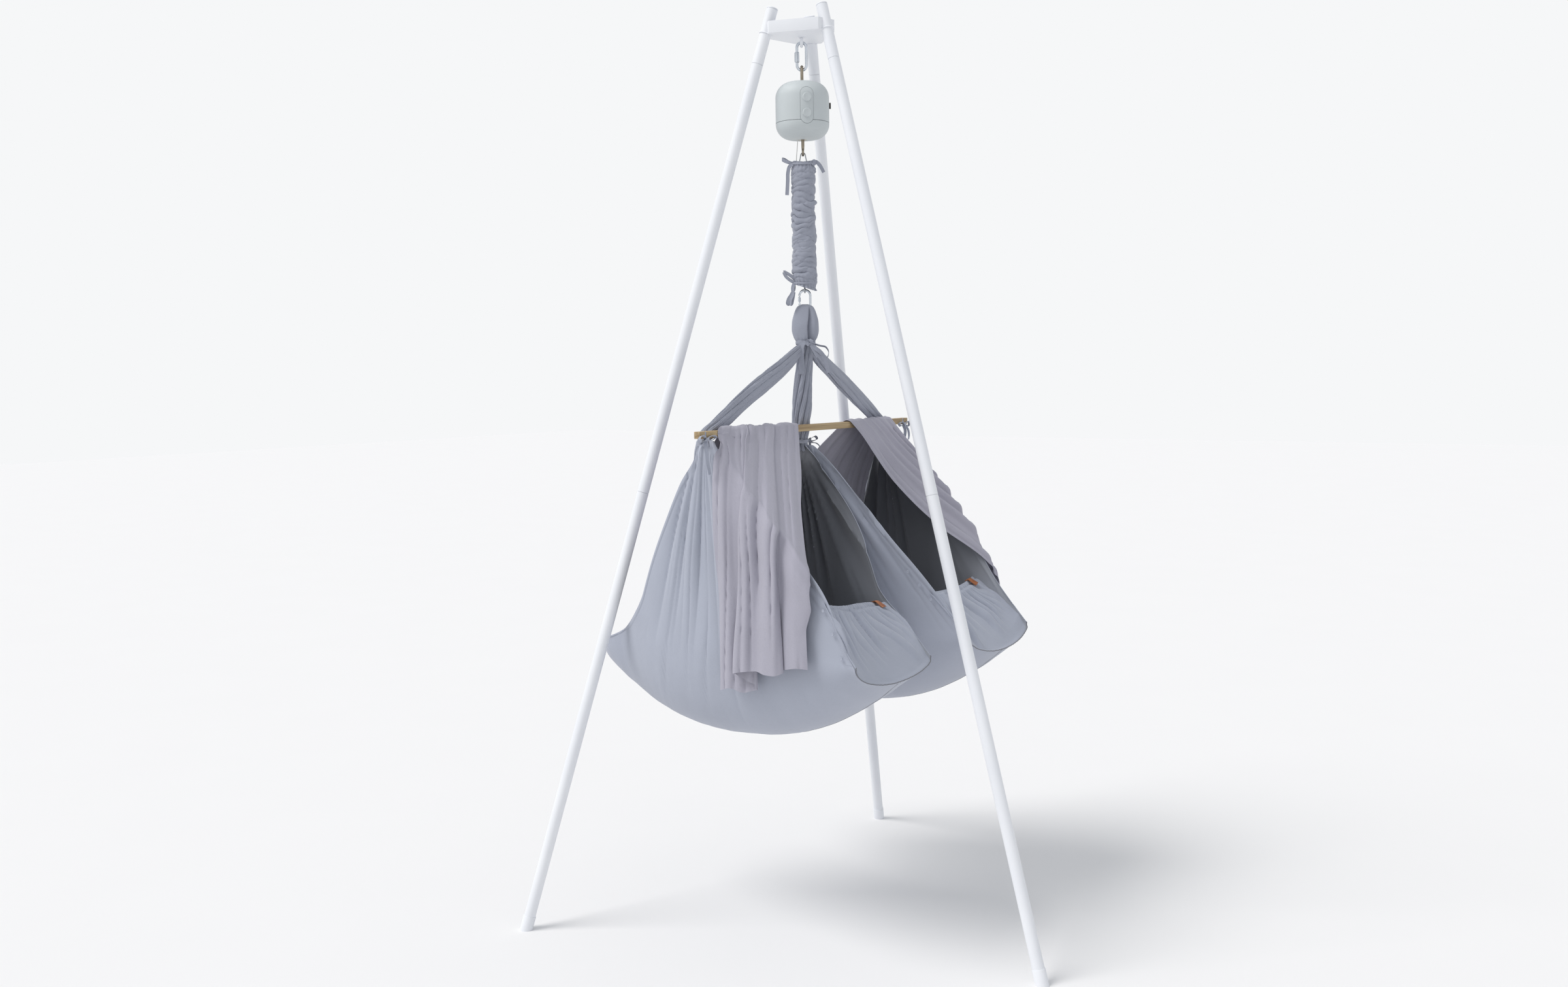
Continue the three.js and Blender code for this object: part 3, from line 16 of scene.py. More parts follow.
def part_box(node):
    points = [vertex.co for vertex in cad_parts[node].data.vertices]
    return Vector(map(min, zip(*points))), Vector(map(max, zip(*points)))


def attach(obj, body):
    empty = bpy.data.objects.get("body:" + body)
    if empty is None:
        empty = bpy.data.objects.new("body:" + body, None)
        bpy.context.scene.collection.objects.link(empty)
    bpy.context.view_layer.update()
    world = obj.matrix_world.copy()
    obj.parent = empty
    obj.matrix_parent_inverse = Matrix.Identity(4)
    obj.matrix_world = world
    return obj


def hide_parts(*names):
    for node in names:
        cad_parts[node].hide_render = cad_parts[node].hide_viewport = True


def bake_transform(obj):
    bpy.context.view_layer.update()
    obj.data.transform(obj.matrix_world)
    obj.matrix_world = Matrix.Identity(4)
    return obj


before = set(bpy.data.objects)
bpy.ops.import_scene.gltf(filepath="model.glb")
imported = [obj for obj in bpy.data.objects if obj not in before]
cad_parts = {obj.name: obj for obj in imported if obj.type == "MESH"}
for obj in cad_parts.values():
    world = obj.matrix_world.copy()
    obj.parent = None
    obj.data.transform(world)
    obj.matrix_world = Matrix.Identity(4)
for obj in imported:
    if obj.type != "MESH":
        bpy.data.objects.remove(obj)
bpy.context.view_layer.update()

# %% [markdown]
# Sizes in metres. The feet stand on a circle, and everything that hangs keeps to one plumb line.
# The quick link and the carabiner lie in one plane through that line, turned from the bar.

# %% Places that the whole object shares
MM = 0.001
TIP_HEIGHT, FOOT_REACH, TIP_REACH = 1.990, 0.647, 0.0635
LEG_TURNS = {"left": 228.8, "right": 348.8, "back": 108.8}
LINK_TURN = 35.1
SEAM = 0.3 * MM
UP = Vector((0, 0, 1))


def around(turn, out, across=0.0, height=0.0):
    a = math.radians(turn)
    x = out * math.cos(a) - across * math.sin(a)
    y = out * math.sin(a) + across * math.cos(a)
    return Vector((x, y, height))


def mix(a, b, share):
    return a + (b - a) * share


def smooth(share):
    share = min(1.0, max(0.0, share))
    return share * share * (3 - 2 * share)


def middle_of(values):
    return (min(values) + max(values)) / 2


feet = [around(turn, FOOT_REACH) for turn in LEG_TURNS.values()]
PLUMB = Vector((-middle_of([f.x for f in feet]), -middle_of([f.y for f in feet]), 0))
AT_PLUMB = Matrix.Translation(PLUMB)


def hung(x, y, z):
    """A point whose x and y are taken from the plumb line."""
    return PLUMB + Vector((x, y, z))


def in_link_plane(out, height, across=0.0):
    """A point by the plumb line: out in the quick link's plane, across towards the camera."""
    return PLUMB + around(LINK_TURN, out, -across, height)


print("plumb line at", [round(v, 4) for v in PLUMB])

# %% [markdown]
# The camera stands where the photographer stood: a little above the cradles, turned to the left,
# with a hint of roll.

# %% Camera
FOCAL_LENGTH, SENSOR_WIDTH, SEES_TO = 33.72, 36, 60
CAMERA_PLACE, CAMERA_TURN = (1.77256, -2.73662, 1.212), (85.16946, 0.85695, 35.91758)

camera_data = bpy.data.cameras.new("view")
camera_data.lens = FOCAL_LENGTH
camera_data.sensor_width = SENSOR_WIDTH
camera_data.clip_end = SEES_TO
camera = bpy.data.objects.new("view", camera_data)
bpy.context.collection.objects.link(camera)
camera.location = CAMERA_PLACE
camera.rotation_euler = [math.radians(v) for v in CAMERA_TURN]
bpy.context.scene.camera = camera
print("camera at", [round(v, 3) for v in camera.location])

# %% [markdown]
# Selection is the first thing to get right in a script: an operator works on all that is selected.
# These helpers clear it, open a piece for editing with all of it selected, and settle its place
# into its mesh.

# %% Helpers for modelling by hand


def clear_selection():
    bpy.ops.object.select_all(action="DESELECT")


def only(piece):
    clear_selection()
    piece.select_set(True)
    bpy.context.view_layer.objects.active = piece
    return piece


def fresh(name):
    """Names the piece that an operator has just made."""
    piece = bpy.context.active_object
    piece.name = piece.data.name = name
    return piece


def settle(piece, place=None):
    """Moves a finished piece to its place, and puts that place into its mesh."""
    if place is not None:
        piece.matrix_world = place @ piece.matrix_world
    only(piece)
    bpy.ops.object.transform_apply(location=True, rotation=True, scale=True)
    return piece


def facing(way):
    """The turn that brings the Z axis round to a direction."""
    return UP.rotation_difference(way).to_matrix().to_4x4()


def select_whole():
    bpy.ops.mesh.select_all(action="SELECT")


@contextmanager
def editing(piece):
    only(piece)
    bpy.ops.object.mode_set(mode="EDIT")
    bpy.ops.mesh.select_mode(type="VERT")
    select_whole()
    yield
    bpy.ops.object.mode_set(mode="OBJECT")


def choose(piece, kind, test):
    """Selects the faces, edges or vertices that pass a test, in edit mode."""
    bpy.ops.mesh.select_mode(type={"faces": "FACE", "edges": "EDGE", "verts": "VERT"}[kind])
    bpy.ops.mesh.select_all(action="DESELECT")
    mesh = bmesh.from_edit_mesh(piece.data)
    for part in getattr(mesh, kind):
        if test(part):
            part.select_set(True)
    bmesh.update_edit_mesh(piece.data)


def move(x, y, z):
    bpy.ops.transform.translate(value=(x, y, z))


def draw_out(x, y, z):
    bpy.ops.mesh.extrude_region_move(TRANSFORM_OT_translate={"value": (x, y, z)})


def face_outwards():
    select_whole()
    bpy.ops.mesh.normals_make_consistent(inside=False)


def apply_modifier(piece, kind, **settings):
    only(piece)
    modifier = piece.modifiers.new(kind.lower(), kind)
    for key, value in settings.items():
        setattr(modifier, key, value)
    bpy.ops.object.modifier_apply(modifier=modifier.name)
    return piece


def bevel(piece, width, segments, degrees):
    """Rounds the edges that bend by more than so many degrees."""
    return apply_modifier(piece, "BEVEL", width=width, segments=segments, limit_method="ANGLE",
                          angle_limit=math.radians(degrees))


def shade(piece, degrees=35):
    only(piece)
    bpy.ops.object.shade_smooth_by_angle(angle=math.radians(degrees))
    return piece


def copy_of(piece, name):
    only(piece)
    bpy.ops.object.duplicate(linked=False)
    return fresh(name)


def joined(first, *others):
    only(first)
    for piece in others:
        piece.select_set(True)
    bpy.ops.object.join()
    return first


def dress(piece, material, body, slot, *nodes):
    """Gives a piece its material, its body and the solids that it stands for; the slot is not used.
    """
    if piece.data.materials:
        piece.data.materials[0] = material
    else:
        piece.data.materials.append(material)
    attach(piece, body)
    if nodes:
        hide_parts(*nodes)
    return piece


print("helpers for modelling by hand ready")

# %% [markdown]
# Most hard pieces are round, so they are turned: one corner of a plane is drawn out along half of
# the section, and the section is spun about the axis. Wires are curves with a round bevel.

# %% Turned pieces, rings and wires


def turned(name, profile, steps=64, closed=False, place=None):
    """Spins a profile of (radius, height) points about the Z axis."""
    clear_selection()
    bpy.ops.mesh.primitive_plane_add(size=MM)
    piece = fresh(name)
    with editing(piece):
        bpy.ops.mesh.merge(type="CENTER")
        move(profile[0][0], 0, profile[0][1])
        route = profile[1:] + (profile[:1] if closed else [])
        for before, after in zip(profile[:1] + route, route):
            step = (after[0] - before[0], 0, after[1] - before[1])
            bpy.ops.mesh.extrude_vertices_move(TRANSFORM_OT_translate={"value": step})
        select_whole()
        bpy.ops.mesh.spin(steps=steps, angle=math.tau, center=(0, 0, 0), axis=(0, 0, 1))
        select_whole()
        bpy.ops.mesh.remove_doubles(threshold=2e-6)
        face_outwards()
    shade(piece)
    return piece if place is None else settle(piece, place)


def ring(name, centre, radius, wire_radius, axis, sides=14):
    clear_selection()
    bpy.ops.mesh.primitive_torus_add(
        major_radius=radius, minor_radius=wire_radius, major_segments=56, minor_segments=sides)
    return shade(settle(fresh(name), Matrix.Translation(centre) @ facing(axis)), 60)


def wire(name, points, radius, closed=False, sides=4):
    """A round wire through points, as a curve that becomes a mesh."""
    curve = bpy.data.curves.new(name, "CURVE")
    curve.dimensions = "3D"
    curve.bevel_depth = radius
    curve.bevel_resolution = sides
    curve.use_fill_caps = True
    line = curve.splines.new("POLY")
    line.points.add(len(points) - 1)
    for spot, point in zip(line.points, points):
        spot.co = (*point, 1)
    line.use_cyclic_u = closed
    piece = bpy.data.objects.new(name, curve)
    bpy.context.collection.objects.link(piece)
    only(piece)
    bpy.ops.object.convert(target="MESH")
    return shade(fresh(name), 50)


def smooth_line(points, counts):
    """A smooth curve through given points, with so many steps in each stretch between them."""
    chords = [b - a for a, b in zip(points, points[1:])]
    sizes = [max(chord.length, 1e-9) for chord in chords]
    ways = [chords[0] / sizes[0]]
    for (d0, c0), (d1, c1) in zip(zip(sizes, chords), zip(sizes[1:], chords[1:])):
        ways.append((c0 / d0 * d1 + c1 / d1 * d0) / (d0 + d1))
    ways.append(chords[-1] / sizes[-1])
    fine = []
    for k, count in enumerate(counts):
        a, b, size = points[k], points[k + 1], sizes[k]
        for step in range(count):
            t = step / count
            fine.append(a * ((1 + 2 * t) * (1 - t) ** 2) + b * (t * t * (3 - 2 * t))
                        + ways[k] * (size * t * (1 - t) ** 2)
                        - ways[k + 1] * (size * t * t * (1 - t)))
    fine.append(points[-1].copy())
    return fine


def curve_through(points, count, fineness=24):
    """Even points on a smooth curve through a few given ones."""
    fine = smooth_line(points, [fineness] * (len(points) - 1))
    lengths = [0.0]
    for a, b in zip(fine, fine[1:]):
        lengths.append(lengths[-1] + (b - a).length)
    even, k = [], 0
    for i in range(count):
        goal = lengths[-1] * i / (count - 1)
        while k < len(fine) - 2 and lengths[k + 1] < goal:
            k += 1
        span = lengths[k + 1] - lengths[k]
        even.append(fine[k].lerp(fine[k + 1], (goal - lengths[k]) / span if span else 0))
    return even


def arc(centre, radius, start, end, place, count=14):
    """Points on a circle about a height, each put in its place by a function."""
    angles = [mix(start, end, i / count) for i in range(count + 1)]
    return [place(radius * math.cos(a), centre + radius * math.sin(a)) for a in angles]


print("helpers for turned pieces and wires ready")

# %% [markdown]
# A material is a small tree of nodes. The shader's own sockets hold what is the same all over, and
# noise drives what varies: colour, roughness and the bump of the surface.

# %% Helpers for materials


class Finish:
    """A material with its shader, and the few kinds of node that the finishes are made of."""

    def __init__(self, name, color, roughness, **sockets):
        self.material = bpy.data.materials.new(name)
        self.material.use_nodes = True
        self.tree = self.material.node_tree
        self.shader = self.tree.nodes["Principled BSDF"]
        self.shader.inputs["Base Color"].default_value = (*color, 1)
        self.shader.inputs["Roughness"].default_value = roughness
        for key, value in sockets.items():
            self.shader.inputs[key.replace("_", " ")].default_value = value

    def node(self, kind, **settings):
        made = self.tree.nodes.new(kind)
        for key, value in settings.items():
            if key in made.inputs:
                made.inputs[key].default_value = value
            else:
                setattr(made, key, value)
        return made

    def link(self, start, end):
        self.tree.links.new(start, end)

    def noise(self, scale, detail=3.0, stretch=(1, 1, 1), uv=False):
        """Noise on the piece's own coordinates, drawn out along one axis if stretch says so."""
        where = self.node("ShaderNodeTexCoord").outputs["UV" if uv else "Object"]
        mapping = self.node("ShaderNodeMapping", Scale=stretch)
        speckle = self.node("ShaderNodeTexNoise", Scale=scale, Detail=detail)
        self.link(where, mapping.inputs["Vector"])
        self.link(mapping.outputs["Vector"], speckle.inputs["Vector"])
        return speckle.outputs["Fac"]

    def ramp(self, source, start, end, low=0.3, high=0.7):
        """A colour or a grey from start to end, as the source runs from low to high."""
        made = self.node("ShaderNodeValToRGB")
        for stop, place, value in zip(made.color_ramp.elements, (low, high), (start, end)):
            stop.position = place
            stop.color = (*(value if isinstance(value, tuple) else (value,) * 3), 1)
        self.link(source, made.inputs["Fac"])
        return made.outputs["Color"]

    def vary(self, socket, *ramp_settings):
        self.link(self.ramp(*ramp_settings), self.shader.inputs[socket])

    def multiplied(self, tone, other):
        both = self.node("ShaderNodeMix", data_type="RGBA", blend_type="MULTIPLY")
        both.inputs["Factor"].default_value = 1
        self.link(tone, both.inputs["A"])
        self.link(other, both.inputs["B"])
        return both.outputs["Result"]

    def bump(self, height, strength, distance, under=None):
        """Raises the surface, on top of another bump if there is one under it."""
        made = self.node("ShaderNodeBump", Strength=strength, Distance=distance)
        self.link(height, made.inputs["Height"])
        if under is not None:
            self.link(under, made.inputs["Normal"])
        self.link(made.outputs["Normal"], self.shader.inputs["Normal"])
        return made.outputs["Normal"]


def scaled(color, share):
    return tuple(min(1, channel * share) for channel in color)


print("helpers for materials ready")

# %% [markdown]
# Metal and plastic. Powder coat has a faint orange peel, plated steel has fine scratches along the
# wire, and the motor's shell is a moulded plastic with a fine matt grain.

# %% Hard finishes


def coated_tube():
    finish = Finish("white_powder_coat", (0.83, 0.845, 0.88), 0.42)
    peel = finish.noise(900, 2)
    finish.bump(peel, 0.05, 0.2 * MM)
    finish.vary("Base Color", finish.noise(7), (0.81, 0.826, 0.865), (0.85, 0.862, 0.89))
    finish.vary("Roughness", peel, 0.36, 0.5)
    return finish.material


def brushed_metal(name, color, roughness, stretch, dark_share=0.8):
    finish = Finish(name, color, roughness, Metallic=1.0)
    scratches = finish.noise(260, 4, stretch)
    finish.vary("Base Color", scratches, scaled(color, dark_share), color, 0.35, 0.65)
    finish.vary("Roughness", scratches, roughness * 0.75, roughness * 1.35)
    finish.bump(scratches, 0.08, 0.1 * MM)
    return finish.material


def moulded_plastic(name, color, roughness=0.55, grain=1400):
    finish = Finish(name, color, roughness)
    fine = finish.noise(grain, 2)
    finish.bump(fine, 0.12, 0.15 * MM)
    finish.vary("Base Color", finish.noise(12, 2), scaled(color, 0.97), scaled(color, 1.03))
    finish.vary("Roughness", fine, roughness - 0.06, roughness + 0.08)
    return finish.material


COAT = coated_tube()
BRIGHT = brushed_metal("zinc_plated_steel", (0.66, 0.70, 0.75), 0.24, (1, 1, 0.15))
SPRING_STEEL = brushed_metal("spring_steel", (0.42, 0.44, 0.46), 0.33, (1, 1, 1))
BRONZE = brushed_metal("bronzed_steel", (0.36, 0.315, 0.25), 0.46, (1, 1, 0.3), 0.72)
SHELL = moulded_plastic("motor_shell_plastic", (0.545, 0.585, 0.595))
RECESS = moulded_plastic("rod_recess_plastic", (0.62, 0.57, 0.46))
DARK = moulded_plastic("dark_plastic", (0.045, 0.04, 0.036), 0.5)
BOARD = moulded_plastic("circuit_board_laminate", (0.03, 0.12, 0.07), 0.4, 700)
print("hard finishes:", [m.name for m in (COAT, BRIGHT, SPRING_STEEL, BRONZE, SHELL, DARK, BOARD)])

# %% [markdown]
# Cloth. Cotton scatters light at grazing angles, so it gets a little sheen. Its threads follow the
# sheet's own UV map, which is laid out in metres: slubs run along both threads, drawn out in noise.

# %% Cloth finishes
WEAVE_SCALE, SLUB_STRETCH = 1500, 0.07


def darker_inside(finish, tone, start, end, least):
    """Shades a tone along X, as cloth deep inside a cradle gets little light."""
    where = finish.node("ShaderNodeTexCoord")
    axes = finish.node("ShaderNodeSeparateXYZ")
    limits = {"From Min": start, "From Max": end, "To Min": least, "To Max": 1.0}
    share = finish.node("ShaderNodeMapRange", **limits)
    finish.link(where.outputs["Object"], axes.inputs["Vector"])
    finish.link(axes.outputs["X"], share.inputs["Value"])
    return finish.multiplied(tone, share.outputs["Result"])


def let_light_through(finish, color, share):
    """Mixes in light that comes through the cloth from behind."""
    through = finish.node("ShaderNodeBsdfTranslucent", Color=(*color, 1))
    both = finish.node("ShaderNodeMixShader", Fac=share)
    finish.link(finish.shader.outputs["BSDF"], both.inputs[1])
    finish.link(through.outputs["BSDF"], both.inputs[2])
    out = finish.tree.nodes["Material Output"]
    finish.link(both.outputs["Shader"], out.inputs["Surface"])


def cotton(name, color, slub=0.025, translucent=0.0, crease=0.35, shade_from=None):
    finish = Finish(name, color, 0.88, Sheen_Weight=0.25, Sheen_Roughness=0.5,
                    Specular_IOR_Level=0.18)
    weave = finish.node("ShaderNodeMath", operation="ADD")
    for socket, stretch in zip(weave.inputs, ((1, SLUB_STRETCH, 1), (SLUB_STRETCH, 1, 1))):
        finish.link(finish.noise(WEAVE_SCALE, 2, stretch, uv=True), socket)
    woven = weave.outputs["Value"]
    thread = finish.ramp(woven, scaled(color, 1 - slub * 2), scaled(color, 1 + slub), 0.7, 1.3)
    tone = finish.multiplied(thread, finish.ramp(finish.noise(9), 0.95, 1.0))
    if shade_from:
        tone = darker_inside(finish, tone, *shade_from)
    finish.link(tone, finish.shader.inputs["Base Color"])
    soft = finish.bump(finish.noise(55, 5), crease, 1.2 * MM)
    finish.bump(woven, 0.22, 0.2 * MM, soft)
    if translucent:
        let_light_through(finish, color, translucent)
    return finish.material


SLING = cotton("sling_cotton", (0.335, 0.352, 0.415))
HULL = cotton("cradle_cotton", (0.40, 0.425, 0.50))
# The cradles' inside is painted shade: a darker cloth colour than the outside, darkest from the
# head past the middle and lightening only towards the foot.
SHADED_INSIDE = cotton("cradle_inside_painted_shade", (0.33, 0.345, 0.385), shade_from=(0.0, 0.17, 0.47))
MUSLIN = cotton("canopy_muslin", (0.475, 0.465, 0.54), slub=0.045, translucent=0.16, crease=0.25)
PAD = cotton("mattress_cotton", (0.62, 0.62, 0.62))
THREAD = cotton("seam_thread", (0.20, 0.205, 0.23))
CORD = cotton("pale_cord", (0.72, 0.72, 0.69))
print("cloth finishes:", [m.name for m in (SLING, HULL, SHADED_INSIDE, MUSLIN, PAD, THREAD, CORD)])

# %% [markdown]
# Wood and leather. The bar is pale oak with its grain along it, so the noise is drawn out along Y.
# The tags are tanned leather with a pebbled grain and darker, rubbed patches.

# %% Wood and leather finishes


def oak():
    finish = Finish("oiled_oak", (0.42, 0.30, 0.16), 0.55)
    grain = finish.noise(120, 6, (1, 0.03, 1))
    pores = finish.noise(700, 3, (1, 0.02, 1))
    tone = finish.ramp(grain, (0.29, 0.195, 0.098), (0.53, 0.40, 0.225), 0.34, 0.66)
    tone = finish.multiplied(tone, finish.ramp(pores, 0.72, 1.0, 0.3, 0.5))
    finish.link(tone, finish.shader.inputs["Base Color"])
    finish.bump(pores, 0.3, 0.3 * MM)
    return finish.material


def leather():
    finish = Finish("tan_leather", (0.38, 0.13, 0.045), 0.5)
    finish.vary("Base Color", finish.noise(90), (0.27, 0.085, 0.03), (0.45, 0.17, 0.065))
    finish.bump(finish.noise(800, 4), 0.4, 0.3 * MM)
    return finish.material


OAK = oak()
LEATHER = leather()
print("wood and leather ready")

# %% [markdown]
# The stand. Three straight legs lean in to a bracket, each in three lengths with a fine joint line
# between them, a cap on its tip and a cup under its foot. Each length is turned once, about its own
# axis, and a copy of it is laid along each leg.

# %% The legs
TUBE_RADIUS, TUBE_WALL, EDGE = 12.5 * MM, 1.5 * MM, 0.7 * MM
UPPER_SEAM, LOWER_SEAM = 1.869, 0.950
FOOT_CAP_HEIGHT, FOOT_CAP_WALL, TIP_CAP = 32 * MM, 1.3 * MM, 3 * MM
SLOPE = (FOOT_REACH - TIP_REACH) / TIP_HEIGHT
STRETCH = math.hypot(1, SLOPE)


def leg_place(turn):
    direction = around(turn, -SLOPE, 0, 1).normalized()
    return Matrix.Translation(PLUMB + around(turn, FOOT_REACH)) @ facing(direction)


def tube(name, low, high):
    inner = TUBE_RADIUS - TUBE_WALL
    return turned(name, [
        (inner, low), (TUBE_RADIUS - EDGE, low), (TUBE_RADIUS, low + EDGE),
        (TUBE_RADIUS, high - EDGE), (TUBE_RADIUS - EDGE, high), (inner, high),
    ], closed=True)


def leg_models():
    tip = TIP_HEIGHT * STRETCH
    seat = tip - TIP_CAP
    cap = TUBE_RADIUS + FOOT_CAP_WALL
    inside = TUBE_RADIUS - SEAM
    return {
        "leg_stub": tube("stub", UPPER_SEAM * STRETCH + SEAM, seat),
        "leg_upper_tube": tube("upper", LOWER_SEAM * STRETCH + SEAM, UPPER_SEAM * STRETCH),
        "leg_lower_tube": tube("lower", FOOT_CAP_HEIGHT / 3, LOWER_SEAM * STRETCH),
        "tip_cap": turned("tip", [
            (0, seat + SEAM), (TUBE_RADIUS - EDGE, seat + SEAM), (TUBE_RADIUS, seat + EDGE),
            (TUBE_RADIUS, tip - EDGE * 2), (TUBE_RADIUS - EDGE * 0.6, tip - EDGE * 0.6),
            (TUBE_RADIUS - EDGE * 2, tip), (0, tip),
        ]),
        "foot_cap": turned("foot", [
            (0, -cap), (cap, -cap), (cap, FOOT_CAP_HEIGHT - EDGE * 2),
            (cap - EDGE, FOOT_CAP_HEIGHT), (inside, FOOT_CAP_HEIGHT), (inside, 0), (0, 0),
        ]),
    }


def level_foot(piece):
    """Cuts the foot cap level with the floor."""
    with editing(piece):
        bpy.ops.mesh.bisect(plane_co=(0, 0, 0), plane_no=UP, use_fill=True, clear_inner=True)
    return shade(piece)


models = leg_models()
for part, model in models.items():
    for side, turn in LEG_TURNS.items():
        piece = settle(copy_of(model, f"{side}_{part}_coated"), leg_place(turn))
        if part == "foot_cap":
            level_foot(piece)
        dress(piece, COAT, "stand", "coated_tube", f"{side}_{part}")
    bpy.data.objects.remove(model)
print("leg pieces:", len(models) * len(LEG_TURNS))

# %% [markdown]
# The bracket is folded from sheet: a flat plate with three truncated corners and a flange turned up
# all round. It starts as a six-sided disc. Its corners are moved to the plate's, the disc is drawn
# up to the flange's height, and the top is inset and pushed down to leave the tray.

# %% The top bracket
UNDERSIDE, PLATE, FLANGE = 1.931, 3 * MM, 24 * MM
CORNER_HALF, CORNER_REACH, BRACKET_ROUND = 24 * MM, 78 * MM, 1.2 * MM
BEAD_OUT, BEAD_SHOULDER, BEAD_RISE, BEAD_TOP = 2.2 * MM, 1.2 * MM, 1.6 * MM, 2.6 * MM


def bracket():
    corners = [PLUMB + around(LEG_TURNS[leg], CORNER_REACH, side * CORNER_HALF, UNDERSIDE)
               for leg in ("back", "left", "right") for side in (-1, 1)]
    clear_selection()
    bpy.ops.mesh.primitive_circle_add(vertices=6, radius=CORNER_REACH, fill_type="NGON")
    piece = fresh("top_bracket_coated")
    for vertex, corner in zip(piece.data.vertices, corners):
        vertex.co = corner
    with editing(piece):
        draw_out(0, 0, PLATE + FLANGE)
        face_outwards()
        top = UNDERSIDE + PLATE + FLANGE
        choose(piece, "faces", lambda face: face.calc_center_median().z > top - EDGE)
        bpy.ops.mesh.inset(thickness=PLATE, use_boundary=True)
        move(0, 0, -FLANGE)
    return shade(bevel(piece, BRACKET_ROUND, 3, 40))


def weld(side, turn):
    """The bead where a leg's stub goes through the plate."""
    height = (UNDERSIDE + PLATE) * STRETCH
    return turned(f"{side}_weld_bead", [
        (TUBE_RADIUS - EDGE, height), (TUBE_RADIUS + BEAD_OUT, height),
        (TUBE_RADIUS + BEAD_SHOULDER, height + BEAD_RISE), (TUBE_RADIUS - EDGE, height + BEAD_TOP),
    ], 48, closed=True, place=leg_place(turn))


dress(bracket(), COAT, "stand", "coated_plate", "top_bracket")
for side, turn in LEG_TURNS.items():
    dress(weld(side, turn), COAT, "stand", "coated_plate")
print("bracket underside at", UNDERSIDE)

# %% [markdown]
# Under the bracket hangs an eye, then a quick link with a hexagonal sleeve screwed over its open
# side, then the motor's bent hanger. Each is a wire that rests in the next.

# %% The eye, the quick link and the hanger
EYE_WIRE, EYE_RING = 3.6 * MM, 7.6 * MM
SHANK, SHANK_COLLAR, COLLAR_THICKNESS, SHANK_IN = 4 * MM, 8 * MM, 1.6 * MM, 14 * MM
LINK_WIRE, LINK_HALF, LINK_STRAIGHT = 3.2 * MM, 10.2 * MM, 38.2 * MM
SLEEVE_RADIUS, SLEEVE_LENGTH, SLEEVE_END, SLEEVE_DROP = 6 * MM, 22 * MM, 1.5 * MM, 2 * MM
HANGER_WIRE, HANGER_BEND, HANGER_IN = 3.4 * MM, 9 * MM, 22 * MM
MOTOR_TOP, MOTOR_BOTTOM, MOTOR_RADIUS = 1.836, 1.710, 58.5 * MM
IN_LINK, ACROSS_LINK = around(LINK_TURN, 1), around(LINK_TURN, 0, -1)

eye_centre = UNDERSIDE - SEAM - EYE_WIRE - EYE_RING
link_top = eye_centre - EYE_RING + EYE_WIRE + SEAM + LINK_WIRE
link_bottom = link_top - LINK_STRAIGHT - 2 * LINK_HALF
hanger_top = link_bottom + LINK_WIRE + SEAM + HANGER_WIRE


def across_plane(out, height):
    return in_link_plane(0, height, out)


def oval(top, bottom, half):
    """An oval in the link's plane, from its top left round to its bottom left."""
    return (arc(top - half, half, math.pi, 0, in_link_plane)
            + arc(bottom + half, half, 0, -math.pi, in_link_plane))


def eye():
    piece = ring("hanger_eye_coated", in_link_plane(0, eye_centre), EYE_RING, EYE_WIRE, IN_LINK, 18)
    shank = turned("shank", [
        (0, eye_centre + EYE_RING - EYE_WIRE / 2), (SHANK, eye_centre + EYE_RING),
        (SHANK, UNDERSIDE - COLLAR_THICKNESS),
        (SHANK_COLLAR - 0.5 * MM, UNDERSIDE - COLLAR_THICKNESS), (SHANK_COLLAR, UNDERSIDE - MM),
        (SHANK_COLLAR, UNDERSIDE), (SHANK, UNDERSIDE), (SHANK, UNDERSIDE + SHANK_IN),
        (0, UNDERSIDE + SHANK_IN),
    ], 40, place=AT_PLUMB)
    return joined(piece, shank)


def hex_sleeve():
    """A cylinder of six sides, its ends inset and drawn out."""
    middle = (link_top + link_bottom) / 2 - SLEEVE_DROP
    clear_selection()
    bpy.ops.mesh.primitive_cylinder_add(
        vertices=6, radius=SLEEVE_RADIUS, depth=SLEEVE_LENGTH - 2 * SLEEVE_END,
        location=in_link_plane(-LINK_HALF, middle), rotation=(0, 0, math.radians(LINK_TURN)))
    piece = settle(fresh("link_sleeve_hex"))
    with editing(piece):
        for side in (-1, 1):
            choose(piece, "faces", lambda face: face.normal.z * side > 0.9)
            bpy.ops.mesh.inset(thickness=MM)
            move(0, 0, side * SLEEVE_END)
    return shade(bevel(piece, 0.35 * MM, 2, 20), 25)


def hanger():
    low = MOTOR_TOP - HANGER_IN
    bend = arc(hanger_top - HANGER_BEND, HANGER_BEND, math.pi, 0, across_plane)
    points = [across_plane(-HANGER_BEND, low), *bend, across_plane(HANGER_BEND, low)]
    return wire("motor_hanger_wire", points, HANGER_WIRE, sides=6)


dress(eye(), COAT, "stand", "coated_plate", "hanger_eye")
link_route = oval(link_top, link_bottom, LINK_HALF)
dress(wire("quick_link_wire", link_route, LINK_WIRE, closed=True, sides=6), BRIGHT, "quick_link",
      "bright_steel", "quick_link")
dress(hex_sleeve(), BRIGHT, "link_sleeve", "bright_steel", "quick_link_sleeve")
dress(hanger(), BRONZE, "motor_unit", "bronzed_rod", "motor_hanger")
print("link from", round(link_top, 4), "to", round(link_bottom, 4))

# %% [markdown]
# The motor unit is a rounded tub in two shells. Each is turned from the same curve with a small lip
# at the joint, which leaves the thin dark line round it. A cutter of the panel's outline makes the
# groove that the panel sits in.

